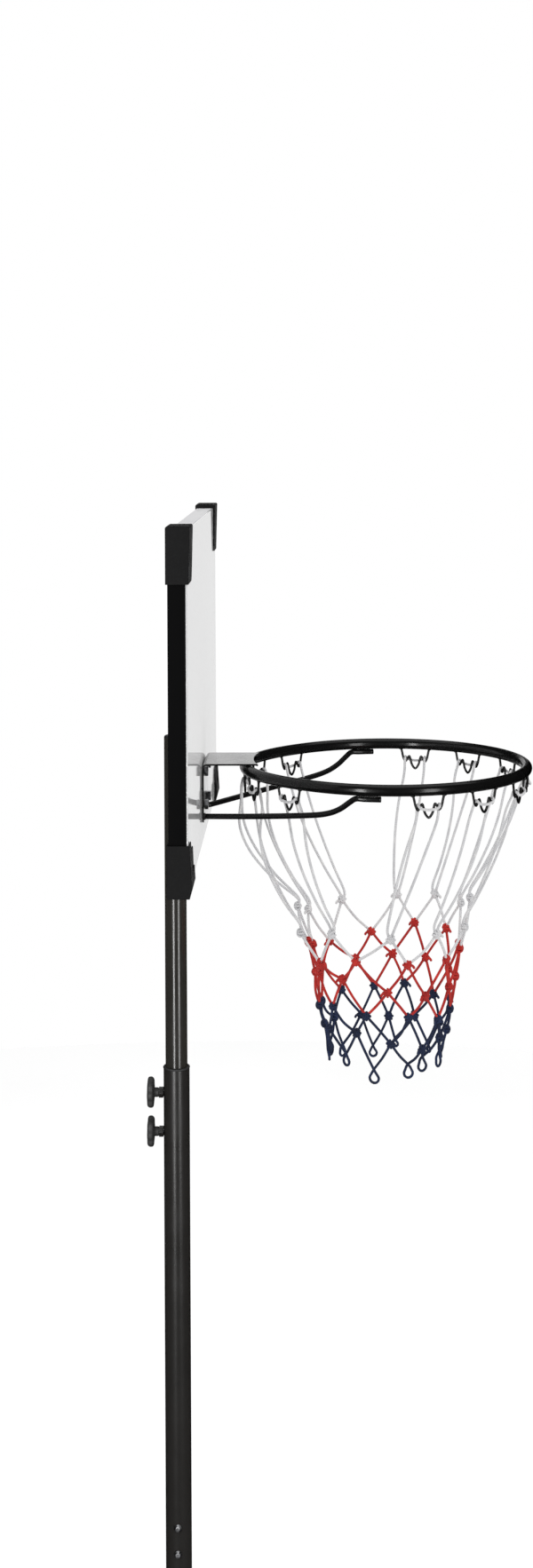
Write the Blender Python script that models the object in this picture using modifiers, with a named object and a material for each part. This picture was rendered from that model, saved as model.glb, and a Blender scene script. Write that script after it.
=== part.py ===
"""Portable basketball stand: ballast tank, telescopic pole, framed board, ring and corded net.

Units are metres. +Z is up, +X runs from the board towards the ring, and +Y is on the left
of someone who faces that way. The origin is on the floor, under the axis of the pole.
The board is modelled at its lowest setting, with both clamp screws done up.
"""
import math

import bmesh
import bpy
from mathutils import Matrix, Vector

# Clearances
GAP = 0.0003                    # between two solids that touch
SLIDE_GAP = 0.0004              # radial play of a piece that slides or turns on another
EPS = 0.002                     # how far a cutter runs past the face that it opens
WELD = 0.001                    # how far two shapes reach into each other before they are joined

# Ballast tank, with the pole socket near its front edge
TANK_FRONT = 0.110
TANK_REAR = 0.690
TANK_HALF_WIDTH = 0.280
TANK_HEIGHT = 0.135
TANK_DRAFT = 0.026
TANK_CORNER_R = 0.075
TANK_EDGE_R = 0.018
TANK_FOOT_R = 0.004
SOCKET_FLOOR = 0.014
SOCKET_BOSS_H = 0.028
SOCKET_BOSS_WALL = 0.016
SOCKET_BOSS_FLARE = 0.020
GROOVE_COUNT = 3
GROOVE_PITCH = 0.100
GROOVE_WIDTH = 0.036
GROOVE_DEPTH = 0.009
GROOVE_FRONT_X = -0.125
GROOVE_REAR_X = -0.480
BOSS_SINK = 0.010
SIDE_FLUTE_XS = (-0.14, -0.26, -0.38, -0.50)
SIDE_FLUTE_R = 0.027
SIDE_FLUTE_FOOT_INSET = 0.004
SIDE_FLUTE_FOOT_Z = 0.020
SIDE_FLUTE_HEAD_INSET = 0.010
SIDE_FLUTE_HEAD_DROP = 0.027

# Filler neck and its screw cap, on the deck behind the grooves
FILLER_X = -0.590
NECK_R = 0.025
NECK_H = 0.014
WELL_R = 0.019
WELL_DEPTH = 0.045
SEAL_T = 0.002
CAP_WALL = 0.003
CAP_SKIRT_LIFT = 0.0015
CAP_GRIPS = 16

# Wheels on one axle through the tank's front
WHEEL_X = 0.062
WHEEL_R = 0.045
WHEEL_W = 0.027
WHEEL_LIFT = 0.002
WHEEL_SIDE_PLAY = 0.0015
WHEEL_RECESS = 0.009
WHEEL_HUB_R = 0.013
WHEEL_RIM_T = 0.009
WHEEL_SHOULDER = (0.003, 0.004)
WHEEL_SLOPE = 0.002
WHEEL_WELL_GAP = 0.009
WHEEL_SIDES = 20
AXLE_R = 0.005
AXLE_CAP_R = 0.009
AXLE_CAP_T = 0.003
AXLE_IN_CAP = 0.0018

# Pole: lower and outer tube share one bore, and the inner tube slides in them
POLE_R = 0.019
POLE_WALL = 0.0012
INNER_R = 0.016
INNER_WALL = 0.0012
JOINT_Z = 0.610
NECK_LENGTH = 0.110
NECK_TAPER = 0.008
OUTER_TOP_Z = 1.352
INNER_BOTTOM_Z = 0.870
INNER_ABOVE_RING = 0.042
COLLAR_LENGTH = 0.022
COLLAR_LIP = 0.0025
COLLAR_LIP_OVERHANG = 0.0006
COLLAR_CHAMFER = (0.0008, 0.0010)
PLUG_LIP = 0.002
PLUG_CHAMFER = 0.0012
PLUG_LENGTH = 0.020
GUIDE_T = 0.012
TUBE_SIDES = 28

# Bolts of the pole joint, which run along Y
JOINT_BOLT_ZS = (0.689, 0.651)
JOINT_BOLT_R = 0.003
JOINT_HEAD_R = 0.006
JOINT_HEAD_H = 0.0035
JOINT_NUT_AF = 0.010
JOINT_NUT_T = 0.005
JOINT_BOLT_PROUD = 0.0015
DOME_TOP_SHARE = 0.55

# Clamp screws, behind the pole, below the top of the outer tube
CLAMP_DROPS = (0.036, 0.093)
CLAMP_STUD_R = 0.004
CLAMP_NUT_AF = 0.014
CLAMP_NUT_T = 0.0065
CLAMP_NECK_R = 0.0067
CLAMP_NECK_L = 0.0068
CLAMP_NECK_GAP = 0.0005
KNOB_R = 0.0225
KNOB_T = 0.0092
KNOB_LOBES = 8
KNOB_POINTS_PER_LOBE = 4
KNOB_LOBE_DEPTH = 0.0022
KNOB_EDGE_R = 0.0022
STUD_IN_KNOB = 0.006
CLAMP_NECK_FLARE = 1.15

# Braces from the pole down to the tank's deck
BRACE_TOP_Z = 0.500
BRACE_FOOT_X = -0.520
BRACE_FOOT_Y = 0.150
BRACE_R = 0.0095
BRACE_TAB_T = 0.0035
BRACE_TAB_W = 0.022
BRACE_TAB_L = 0.046
BRACE_IN_TAB = 0.012
BRACE_UPPER_LEAD = 0.018
BRACE_LOWER_LEAD = 0.006
BRACE_LOWER_RISE = 0.0076
BRACE_NUT_T = 0.0065
BRACE_BOLT_PROUD = 0.0025
BRACE_BOLT_R = 0.004
BRACE_BOLT_AF = 0.013
BRACE_BOLT_HEAD = 0.0053
BRACE_BOLT_IN_TANK = 0.030

# Board: a thin sheet on the front of four rails, with a cap on each corner
BOARD_TOP_Z = 2.1615
BOARD_HEIGHT = 0.479
BOARD_HALF_WIDTH = 0.355
RAIL_DEPTH = 0.0232
RAIL_LEG = 0.014
RAIL_WALL = 0.002
SHEET_T = 0.0022
SHEET_CORNER_R = 0.006

# Corner caps: an angle over the ends of two rails, with a lip on the face of the sheet
CAP_HEADROOM = 0.0062
CORNER_WIDTH = 0.070
CORNER_LIP = 0.030
CORNER_WALL = 0.0022
CORNER_FRONT_WALL = 0.0014
CORNER_BACK_ROUND = 0.0025
CORNER_EDGE_R = 0.0008
CORNER_HEIGHTS = {"top": 0.0748, "bottom": 0.0686}
CORNER_SWELLS = {"top": 0.0020, "bottom": 0.0040}
CORNER_CHAMFERS = {"top": (0.0016, 0.0016), "bottom": (0.0034, 0.0120)}

# Ring, its bracket and the two rods under it
RING_X = 0.3128
RING_R = 0.198
RING_TUBE_R = 0.008
RING_STEPS = 52
RING_SIDES = 8
RING_DROP = 0.3685
BRACKET_HALF_WIDTH = 0.050
BRACKET_T = 0.0025
BRACKET_BEND_R = 0.004
BRACKET_FOOT = 0.008
MAST_ANGLE_HALF = 0.056
MAST_ANGLE_WALL = 0.0025
MAST_ANGLE_BACK = 0.022
MAST_ANGLE_UP = 0.016
MAST_ANGLE_DOWN = 0.074
BRACKET_BOLT_Y = 0.034
BRACKET_BOLT_DROPS = (0.002, 0.050)
BRACKET_BOLT_R = 0.004
BRACKET_BOLT_AF = 0.013
BRACKET_BOLT_HEAD = 0.0053
BRACKET_NUT_T = 0.0065
BRACKET_BOLT_PROUD = 0.001
BRACKET_REACH = 0.012
ROD_R = 0.004
ROD_Y = 0.0465
ROD_DROP = 0.065
ROD_LEAD = 0.006
ROD_WELD_START = 105.5
ROD_WELD_END = 95.5
ROD_COURSE = ((0.35, 0.19), (0.69, 0.40), (0.82, 0.52), (0.90, 0.68), (0.96, 0.88))

# Hooks under the ring: wires bent like a W, seen from outside as (sideways, below the ring)
HOOK_FRONT_STEP = 25.5
HOOK_REAR_STEP = 22.0
HOOK_WIRE_R = 0.00175
HOOK_HALF_WIDTH = 0.0226
HOOK_SHOULDER = (0.0192, 0.0190)
HOOK_VALLEY = (0.0152, 0.0272)
HOOK_PEAK = (0.0092, 0.0195)
HOOK_THROAT = (0.0056, 0.0310)
HOOK_BOTTOM = 0.0378
HOOK_EMBED = 0.0045

# Net: rows of knots as (radius, depth below the ring, angles), from the white row down
CORD_R = 0.0019
KNOT_R = 0.0058
KNOT_SPREAD = 0.62
KNOT_THICKNESS = 0.85           # half-thickness of a knot, as a share of its radius
KNOT_CROWN = (0.50, 0.55)       # its two upper humps, sideways and up
KNOT_BREAK = 0.0006
WHITE_PASS_RISE = 0.0062
LOOP_CLEARANCE = 0.0007
LOOP_SEAT = 1.72
LOOP_CLEAR_IN = 0.0135
LOOP_ROD_IN = 0.0180
LOOP_CLEAR_DROP = 0.047
LOOP_BULGE = 0.011
LOOP_REAR_BULGE = 0.014
LOOP_LEAD = 0.012
NET_ROWS = (
    (0.119, 0.222, (18, 49, 79, 121, 160, 176, 194, 229, 272, 306, 339, 357)),
    (0.109, 0.260, (7, 32, 64, 99, 137, 168, 184, 210, 246, 285, 321, 347)),
    (0.102, 0.301, (22, 52, 82, 118, 152, 175, 199, 231, 269, 302, 331, 357)),
    (0.096, 0.342, (10, 40, 71, 98, 131, 164, 184, 217, 252, 288, 319, 344)),
    (0.089, 0.382, (25, 59, 85, 112, 146, 174, 203, 240, 272, 302, 328, 357)),
)
NET_EYE_ANGLES = (42, 72, 98, 129, 160, 189, 224, 257, 289, 312, 341, 371)
NET_EYE_RADIUS = 0.083
NET_EYE_DROP = 0.424
NET_EYE_R = 0.0062
NET_EYE_CROSS = 1.9             # height of the crossing over the eye, in eye radii
NET_EYE_OFFSET = 1.3            # how far the two cords pass each other, in cord radii
NET_EYE_COURSE = (50, 100, 150, 210, 260, 310)
NET_LEAN = 0.008

# Colours as linear RGB, then roughness and metallic
BLACK_GLOSS = ((0.012, 0.012, 0.013), 0.22, 0.0)
BLACK_SATIN = ((0.026, 0.024, 0.022), 0.42, 0.0)
BLACK_PLASTIC = ((0.018, 0.018, 0.018), 0.55, 0.0)
DARK_PLASTIC = ((0.045, 0.046, 0.048), 0.60, 0.0)
WHITE_GLOSS = ((0.82, 0.82, 0.82), 0.18, 0.0)
PALE_PLASTIC = ((0.72, 0.72, 0.72), 0.40, 0.0)
ZINC = ((0.72, 0.73, 0.75), 0.28, 1.0)
WHITE_CORD = ((0.78, 0.78, 0.78), 0.85, 0.0)
RED_CORD = ((0.58, 0.024, 0.018), 0.85, 0.0)
BLUE_CORD = ((0.011, 0.027, 0.085), 0.85, 0.0)
RUBBER = ((0.020, 0.020, 0.020), 0.85, 0.0)

# Places that follow from the sizes above
POLE_BORE = POLE_R - POLE_WALL
WHEEL_Z = WHEEL_R + WHEEL_LIFT
WHEEL_OUT_Y = TANK_HALF_WIDTH - AXLE_CAP_T - WHEEL_SIDE_PLAY
WHEEL_IN_Y = WHEEL_OUT_Y - WHEEL_W
DECK_Z = TANK_HEIGHT
CLAMP_ZS = tuple(OUTER_TOP_Z - drop for drop in CLAMP_DROPS)
RAIL_BACK_X = INNER_R + GAP
SHEET_BACK_X = RAIL_BACK_X + RAIL_DEPTH + GAP
SHEET_FRONT_X = SHEET_BACK_X + SHEET_T
BRACKET_BACK_X = SHEET_FRONT_X + GAP
BRACKET_FRONT_X = BRACKET_BACK_X + BRACKET_T
RAIL_TOP_Z = BOARD_TOP_Z - CAP_HEADROOM
RAIL_BOTTOM_Z = BOARD_TOP_Z - BOARD_HEIGHT + CAP_HEADROOM
RING_Z = BOARD_TOP_Z - RING_DROP
INNER_TOP_Z = RING_Z + INNER_ABOVE_RING
PLATE_Z = RING_Z + RING_TUBE_R + GAP
MAST_ANGLE_TOP_Z = RING_Z + MAST_ANGLE_UP
MAST_ANGLE_BOTTOM_Z = RING_Z - MAST_ANGLE_DOWN


def clear_scene():
    """Start from an empty scene."""
    for obj in list(bpy.data.objects):
        bpy.data.objects.remove(obj, do_unlink=True)


def new_collection(name):
    """A collection linked to the scene."""
    collection = bpy.data.collections.new(name)
    bpy.context.scene.collection.children.link(collection)
    return collection


def material(name, look):
    """A Principled material, made once for each name."""
    if name in bpy.data.materials:
        return bpy.data.materials[name]
    colour, roughness, metallic = look
    made = bpy.data.materials.new(name)
    made.use_nodes = True
    shader = made.node_tree.nodes["Principled BSDF"]
    shader.inputs["Base Color"].default_value = (*colour, 1.0)
    shader.inputs["Roughness"].default_value = roughness
    shader.inputs["Metallic"].default_value = metallic
    made.diffuse_color = (*colour, 1.0)
    return made


clear_scene()
PARTS = new_collection("basketball_stand")
CUTTERS = new_collection("cutters")


def add_object(name, mesh, look, look_name, smooth=35.0):
    """Put a finished mesh in the stand's collection, shaded smooth below an angle."""
    obj = bpy.data.objects.new(name, mesh)
    PARTS.objects.link(obj)
    mesh.materials.append(material(look_name, look))
    mesh.shade_smooth()
    mesh.set_sharp_from_angle(angle=math.radians(smooth))
    return obj


def mesh_from(bm, name):
    """Turn a bmesh into a mesh with its faces pointing out."""
    bmesh.ops.recalc_face_normals(bm, faces=bm.faces)
    mesh = bpy.data.meshes.new(name)
    bm.to_mesh(mesh)
    bm.free()
    return mesh


def turn_to(axis):
    """Rotation that takes +Z to a direction."""
    return Vector((0, 0, 1)).rotation_difference(Vector(axis)).to_matrix().to_4x4()


def rod_bmesh(start, end, radius, sides, end_radius=None, turn=0.0):
    """A closed cylinder, cone or prism between two points."""
    start, end = Vector(start), Vector(end)
    bm = bmesh.new()
    bmesh.ops.create_cone(
        bm, cap_ends=True, segments=sides, radius1=radius,
        radius2=radius if end_radius is None else end_radius, depth=(end - start).length,
        matrix=Matrix.Rotation(turn, 4, "Z"))
    place = Matrix.Translation((start + end) / 2) @ turn_to(end - start)
    bmesh.ops.transform(bm, matrix=place, verts=bm.verts)
    return bm


def box_bmesh(low, high):
    """A closed box between two corners."""
    low, high = Vector(low), Vector(high)
    size = high - low
    bm = bmesh.new()
    bmesh.ops.create_cube(bm, size=1.0)
    place = Matrix.Translation((low + high) / 2) @ Matrix.Diagonal((*size, 1.0))
    bmesh.ops.transform(bm, matrix=place, verts=bm.verts)
    return bm


def turned_mesh(name, profile, sides, place=Matrix.Identity(4)):
    """Turn a closed profile of (radius, height) about +Z with a Screw modifier.

    The profile starts at its outer top and runs down its outer side.
    """
    mesh = bpy.data.meshes.new(name)
    points = [(radius, 0.0, height) for radius, height in profile]
    count = len(points)
    mesh.from_pydata(points, [(i, (i + 1) % count) for i in range(count)], [])
    obj = bpy.data.objects.new(name, mesh)
    CUTTERS.objects.link(obj)
    screw = obj.modifiers.new("Turn", "SCREW")
    screw.steps = sides
    screw.render_steps = sides
    screw.use_merge_vertices = True
    screw.merge_threshold = 0.00001
    turned = applied(obj)
    turned.transform(place)
    bm = bmesh.new()
    bm.from_mesh(turned)
    bpy.data.meshes.remove(turned)
    return mesh_from(bm, name)


def applied(obj):
    """The evaluated mesh of a scratch object, which is then removed."""
    bpy.context.view_layer.update()
    graph = bpy.context.evaluated_depsgraph_get()
    mesh = bpy.data.meshes.new_from_object(obj.evaluated_get(graph))
    mesh.transform(obj.matrix_world)
    bpy.data.objects.remove(obj, do_unlink=True)
    return mesh


def outline_mesh(name, points, thickness, place=Matrix.Identity(4), edge=0.0):
    """A flat outline in its own XY plane, thickened along +Z, as a filled 2D curve.

    edge is the radius of its rims.
    """
    curve = bpy.data.curves.new(name, "CURVE")
    curve.dimensions = "2D"
    curve.fill_mode = "BOTH"
    curve.extrude = thickness / 2 - edge
    curve.bevel_depth = edge
    curve.bevel_resolution = 1
    curve.offset = -edge
    spline = curve.splines.new("POLY")
    spline.points.add(len(points) - 1)
    for point, (x, y) in zip(spline.points, points):
        point.co = (x, y, 0.0, 1.0)
    spline.use_cyclic_u = True
    obj = bpy.data.objects.new(name, curve)
    CUTTERS.objects.link(obj)
    obj.matrix_world = place @ Matrix.Translation((0, 0, thickness / 2))
    mesh = applied(obj)
    bm = bmesh.new()
    bm.from_mesh(mesh)
    bpy.data.meshes.remove(mesh)
    bmesh.ops.remove_doubles(bm, verts=bm.verts, dist=0.00001)
    return mesh_from(bm, name)


def wire_mesh(name, points, radius, resolution):
    """A round wire or rod along a list of points, with closed ends."""
    curve = bpy.data.curves.new(name, "CURVE")
    curve.dimensions = "3D"
    curve.bevel_depth = radius
    curve.bevel_resolution = resolution
    curve.use_fill_caps = True
    curve.twist_mode = "MINIMUM"
    spline = curve.splines.new("POLY")
    spline.points.add(len(points) - 1)
    for point, place in zip(spline.points, points):
        point.co = (*place, 1.0)
    obj = bpy.data.objects.new(name, curve)
    CUTTERS.objects.link(obj)
    mesh = applied(obj)
    bm = bmesh.new()
    bm.from_mesh(mesh)
    bpy.data.meshes.remove(mesh)
    bmesh.ops.remove_doubles(bm, verts=bm.verts, dist=0.00001)
    return mesh_from(bm, name)


def combine(obj, other, operation):
    """Apply one Boolean between an object and a mesh or bmesh."""
    mesh = other if isinstance(other, bpy.types.Mesh) else mesh_from(other, obj.name + "_tool")
    tool = bpy.data.objects.new(obj.name + "_tool", mesh)
    CUTTERS.objects.link(tool)
    tool.hide_render = True
    tool.display_type = "WIRE"
    boolean = obj.modifiers.new(operation.title(), "BOOLEAN")
    boolean.operation = operation
    boolean.object = tool
    bpy.context.view_layer.update()
    graph = bpy.context.evaluated_depsgraph_get()
    result = bpy.data.meshes.new_from_object(obj.evaluated_get(graph))
    obj.modifiers.remove(boolean)
    old = obj.data
    obj.data = result
    bpy.data.objects.remove(tool, do_unlink=True)
    bpy.data.meshes.remove(mesh)
    bpy.data.meshes.remove(old)


def cut(obj, *tools):
    """Take shapes away from an object."""
    for tool in tools:
        combine(obj, tool, "DIFFERENCE")


def join(obj, *tools):
    """Weld shapes to an object."""
    for tool in tools:
        combine(obj, tool, "UNION")


def finish(obj, smooth=35.0):
    """Clean a cut object and shade it again."""
    bm = bmesh.new()
    bm.from_mesh(obj.data)
    bmesh.ops.remove_doubles(bm, verts=bm.verts, dist=0.00001)
    bmesh.ops.dissolve_degenerate(bm, dist=0.00001, edges=bm.edges)
    bm.to_mesh(obj.data)
    bm.free()
    obj.data.shade_smooth()
    obj.data.set_sharp_from_angle(angle=math.radians(smooth))
    return obj


def arc(centre, radius, start, end, count):
    """Points along an arc, in degrees, both ends included."""
    steps = [math.radians(start + (end - start) * i / (count - 1)) for i in range(count)]
    return [(centre[0] + radius * math.cos(a), centre[1] + radius * math.sin(a)) for a in steps]


def smooth_path(points, per_span):
    """Points on a Catmull-Rom curve through a list of points."""
    points = [Vector(p) for p in points]
    padded = [2 * points[0] - points[1]] + points + [2 * points[-1] - points[-2]]
    path = []
    for a, b, c, d in zip(padded, padded[1:], padded[2:], padded[3:]):
        for step in range(per_span):
            t = step / per_span
            path.append(0.5 * ((2 * b) + (c - a) * t + (2 * a - 5 * b + 4 * c - d) * t ** 2
                               + (3 * b - a - 3 * c + d) * t ** 3))
    return path + [points[-1]]


def rounded_rectangle(half_x, half_y, radius, count):
    """Corner points of a rectangle with round corners, about the middle."""
    points = []
    for sx, sy, start in ((1, 1, 0), (-1, 1, 90), (-1, -1, 180), (1, -1, 270)):
        centre = (sx * (half_x - radius), sy * (half_y - radius))
        points += arc(centre, radius, start, start + 90, count)
    return points


def bolt(name, head_face, direction, reach, radius, head, look=ZINC, look_name="zinc"):
    """A bolt whose head sits on a face and whose shank runs the other way.

    head_face is on the bolt's axis, direction points from it to the shank's end, and
    head is (size across flats, height) of a hexagon or (radius, height, "dome").
    """
    face, direction = Vector(head_face), Vector(direction).normalized()
    shank = rod_bmesh(face - direction * WELD, face + direction * reach, radius, 14)
    if len(head) == 3:
        top = rod_bmesh(face, face - direction * head[1], head[0], 16, end_radius=head[0] * DOME_TOP_SHARE)
    else:
        top = rod_bmesh(face, face - direction * head[1], head[0] / math.sqrt(3), 6)
    obj = add_object(name, mesh_from(top, name), look, look_name)
    join(obj, shank)
    return finish(obj)


def nut(name, face, direction, bore, across_flats, thickness, look=ZINC, look_name="zinc"):
    """A hexagon nut that starts at a face and grows along a direction."""
    face, direction = Vector(face), Vector(direction).normalized()
    far = face + direction * thickness
    obj = add_object(name, mesh_from(rod_bmesh(face, far, across_flats / math.sqrt(3), 6), name),
                     look, look_name)
    cut(obj, rod_bmesh(face - direction * EPS, far + direction * EPS, bore + GAP, 14))
    return finish(obj)


def tank_block():
    """The tank's outer form: a drafted block with round corners and edges."""
    half_length = (TANK_FRONT + TANK_REAR) / 2
    middle = (TANK_FRONT - TANK_REAR) / 2
    bm = box_bmesh((-half_length, -TANK_HALF_WIDTH, 0), (half_length, TANK_HALF_WIDTH, TANK_HEIGHT))
    for vert in bm.verts:
        if vert.co.z > TANK_HEIGHT / 2:
            vert.co.x -= math.copysign(TANK_DRAFT, vert.co.x)
            vert.co.y -= math.copysign(TANK_DRAFT, vert.co.y)
    corners = [e for e in bm.edges if abs(e.verts[0].co.z - e.verts[1].co.z) > TANK_HEIGHT / 2]
    bmesh.ops.bevel(bm, geom=corners, offset=TANK_CORNER_R, segments=7, profile=0.5,
                    affect="EDGES")
    for height, radius, segments in ((TANK_HEIGHT, TANK_EDGE_R, 4), (0.0, TANK_FOOT_R, 2)):
        rim = [e for e in bm.edges if all(abs(v.co.z - height) < 0.0001 for v in e.verts)]
        bmesh.ops.bevel(bm, geom=rim, offset=radius, segments=segments, profile=0.5,
                        affect="EDGES")
    bmesh.ops.translate(bm, verts=bm.verts, vec=(middle, 0, 0))
    return bm


def slot_bmesh(start, end, radius, bottom, top):
    """A vertical block with round ends that runs between two points on the floor plan."""
    start, end = Vector(start), Vector(end)
    along = math.degrees(math.atan2(end.y - start.y, end.x - start.x))
    points = arc(end, radius, along - 90, along + 90, 7) + arc(start, radius, along + 90, along + 270, 7)
    mesh = outline_mesh("slot", points, top - bottom, Matrix.Translation((0, 0, bottom)))
    bm = bmesh.new()
    bm.from_mesh(mesh)
    bpy.data.meshes.remove(mesh)
    return bm


def make_tank():
    """Blow-moulded ballast tank, with its socket, wheel wells, grooves and filler neck."""
    tank = add_object("base_tank", mesh_from(tank_block(), "base_tank"), BLACK_PLASTIC, "black_plastic")
    boss_r = POLE_R + SOCKET_BOSS_WALL
    join(tank, rod_bmesh((0, 0, DECK_Z - BOSS_SINK), (0, 0, DECK_Z + SOCKET_BOSS_H),
                         boss_r + SOCKET_BOSS_FLARE, 28, end_radius=boss_r))
    join(tank, rod_bmesh((FILLER_X, 0, DECK_Z - BOSS_SINK), (FILLER_X, 0, DECK_Z + NECK_H), NECK_R, 24))
    cut(tank, rod_bmesh((0, 0, SOCKET_FLOOR), (0, 0, DECK_Z + SOCKET_BOSS_H + EPS),
                        POLE_R + GAP, TUBE_SIDES))
    cut(tank, rod_bmesh((FILLER_X, 0, DECK_Z + NECK_H - WELL_DEPTH),
                        (FILLER_X, 0, DECK_Z + NECK_H + EPS), WELL_R, 20))
    for index in range(GROOVE_COUNT):
        y = (index - (GROOVE_COUNT - 1) / 2) * GROOVE_PITCH
        cut(tank, slot_bmesh((GROOVE_REAR_X, y, 0), (GROOVE_FRONT_X, y, 0), GROOVE_WIDTH / 2,
                             DECK_Z - GROOVE_DEPTH, DECK_Z + EPS))
    well_r = WHEEL_R + WHEEL_WELL_GAP
    for side in (1, -1):
        inner = side * (WHEEL_IN_Y - WHEEL_SIDE_PLAY)
        outer = side * (TANK_HALF_WIDTH + EPS)
        cut(tank, rod_bmesh((WHEEL_X, inner, WHEEL_Z), (WHEEL_X, outer, WHEEL_Z), well_r, 28))
        cut(tank, box_bmesh((WHEEL_X - well_r, min(inner, outer), -EPS),
                            (WHEEL_X + well_r, max(inner, outer), WHEEL_Z)))
        for x in SIDE_FLUTE_XS:
            foot_y = side * (TANK_HALF_WIDTH - SIDE_FLUTE_FOOT_INSET)
            head_y = side * (TANK_HALF_WIDTH - SIDE_FLUTE_HEAD_INSET)
            cut(tank, rod_bmesh((x, foot_y, SIDE_FLUTE_FOOT_Z),
                                (x, head_y, DECK_Z - SIDE_FLUTE_HEAD_DROP), SIDE_FLUTE_R, 16))
        cut(tank, rod_bmesh((BRACE_FOOT_X, side * BRACE_FOOT_Y, DECK_Z - BRACE_BOLT_IN_TANK - 2 * EPS),
                            (BRACE_FOOT_X, side * BRACE_FOOT_Y, DECK_Z + EPS), BRACE_BOLT_R + GAP, 14))
    cut(tank, rod_bmesh((WHEEL_X, -WHEEL_OUT_Y, WHEEL_Z), (WHEEL_X, WHEEL_OUT_Y, WHEEL_Z),
                        AXLE_R + GAP, 16))
    finish(tank)


def make_wheels():
    """Axle, its two end caps and the two wheels."""
    axle_end = WHEEL_OUT_Y + WHEEL_SIDE_PLAY + AXLE_IN_CAP
    add_object("wheel_axle", mesh_from(rod_bmesh((WHEEL_X, -axle_end, WHEEL_Z),
                                                 (WHEEL_X, axle_end, WHEEL_Z), AXLE_R, 16), "wheel_axle"),
               ZINC, "zinc")
    half = WHEEL_W / 2
    rim_in = WHEEL_R - WHEEL_RIM_T
    web = half - WHEEL_RECESS
    shoulder_r, shoulder_h = WHEEL_SHOULDER
    side_profile = [(WHEEL_R - shoulder_r, half), (WHEEL_R, half - shoulder_h)]
    face = [(rim_in, half), (rim_in - WHEEL_SLOPE, web), (WHEEL_HUB_R + WHEEL_SLOPE, web),
            (WHEEL_HUB_R, half), (AXLE_R + SLIDE_GAP, half)]
    profile = side_profile + [(r, -h) for r, h in reversed(side_profile)]
    profile += [(r, -h) for r, h in face] + list(reversed(face))
    for side, name in ((1, "left"), (-1, "right")):
        y = side * (WHEEL_OUT_Y - half)
        place = Matrix.Translation((WHEEL_X, y, WHEEL_Z)) @ turn_to((0, 1, 0))
        wheel = add_object("wheel_" + name, turned_mesh("wheel", profile, WHEEL_SIDES, place),
                           DARK_PLASTIC, "wheel_plastic")
        finish(wheel)
        face = WHEEL_OUT_Y + WHEEL_SIDE_PLAY
        cap = add_object("axle_cap_" + name,
                         mesh_from(rod_bmesh((WHEEL_X, side * face, WHEEL_Z),
                                             (WHEEL_X, side * (face + AXLE_CAP_T), WHEEL_Z),
                                             AXLE_CAP_R, 18, end_radius=AXLE_CAP_R * 0.8), "axle_cap"),
                         ZINC, "zinc")
        cut(cap, rod_bmesh((WHEEL_X, side * (face - EPS), WHEEL_Z),
                           (WHEEL_X, side * (axle_end + GAP), WHEEL_Z), AXLE_R + GAP, 16))
        finish(cap)


def make_filler():
    """Screw cap of the filler neck, and the flat seal in it."""
    rim_z = DECK_Z + NECK_H
    seal_profile = [(NECK_R - GAP, SEAL_T), (NECK_R - GAP, 0), (WELL_R, 0), (WELL_R, SEAL_T)]
    add_object("filler_seal", turned_mesh("filler_seal", seal_profile, 24,
                                          Matrix.Translation((FILLER_X, 0, rim_z + GAP))),
               RUBBER, "rubber")
    roof = rim_z + SEAL_T + 2 * GAP
    skirt = DECK_Z + CAP_SKIRT_LIFT
    inner = NECK_R + SLIDE_GAP * 2
    outer = inner + CAP_WALL
    outline = []
    for index in range(CAP_GRIPS * 2):
        angle = math.pi * index / CAP_GRIPS
        radius = outer if index % 2 else outer - CAP_WALL * 0.35
        outline.append((radius * math.cos(angle), radius * math.sin(angle)))
    cap = add_object("filler_cap", outline_mesh("filler_cap", outline, roof + CAP_WALL - skirt,
                                                Matrix.Translation((FILLER_X, 0, skirt))),
                     BLACK_PLASTIC, "black_plastic")
    cut(cap, rod_bmesh((FILLER_X, 0, skirt - EPS), (FILLER_X, 0, roof), inner, 24))
    finish(cap, 25)


def tube_profile(outer, wall, bottom, top):
    """Closed section of a plain tube."""
    return [(outer, top), (outer, bottom), (outer - wall, bottom), (outer - wall, top)]


def make_pole():
    """The three tubes, the guide collar and the plugs in the inner tube's ends."""
    foot = SOCKET_FLOOR + GAP
    neck_r = POLE_BORE - GAP
    shoulder = JOINT_Z - GAP
    neck_top = JOINT_Z + NECK_LENGTH
    profile = [(neck_r, neck_top), (neck_r, shoulder), (POLE_R, shoulder), (POLE_R, foot),
               (POLE_BORE, foot), (POLE_BORE, shoulder - NECK_TAPER),
               (neck_r - POLE_WALL, shoulder), (neck_r - POLE_WALL, neck_top)]
    lower = add_object("lower_pole", turned_mesh("lower_pole", profile, TUBE_SIDES),
                       BLACK_SATIN, "black_satin")
    outer = add_object("outer_pole",
                       turned_mesh("outer_pole", tube_profile(POLE_R, POLE_WALL, JOINT_Z, OUTER_TOP_Z),
                                   TUBE_SIDES), BLACK_SATIN, "black_satin")
    for z in JOINT_BOLT_ZS:
        for tube in (lower, outer):
            cut(tube, rod_bmesh((0, -POLE_R - EPS, z), (0, POLE_R + EPS, z), JOINT_BOLT_R + GAP, 14))
    cut(lower, rod_bmesh((0, -POLE_R - EPS, BRACE_TOP_Z), (0, POLE_R + EPS, BRACE_TOP_Z),
                         BRACE_BOLT_R + GAP, 14))
    for z in CLAMP_ZS:
        cut(outer, rod_bmesh((-POLE_R - EPS, 0, z), (-INNER_R, 0, z), CLAMP_STUD_R + GAP, 14))
    finish(lower)
    finish(outer)
    add_object("inner_pole",
               turned_mesh("inner_pole", tube_profile(INNER_R, INNER_WALL, INNER_BOTTOM_Z, INNER_TOP_Z),
                           TUBE_SIDES), BLACK_GLOSS, "black_gloss")
    make_collar()
    make_plugs()


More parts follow.
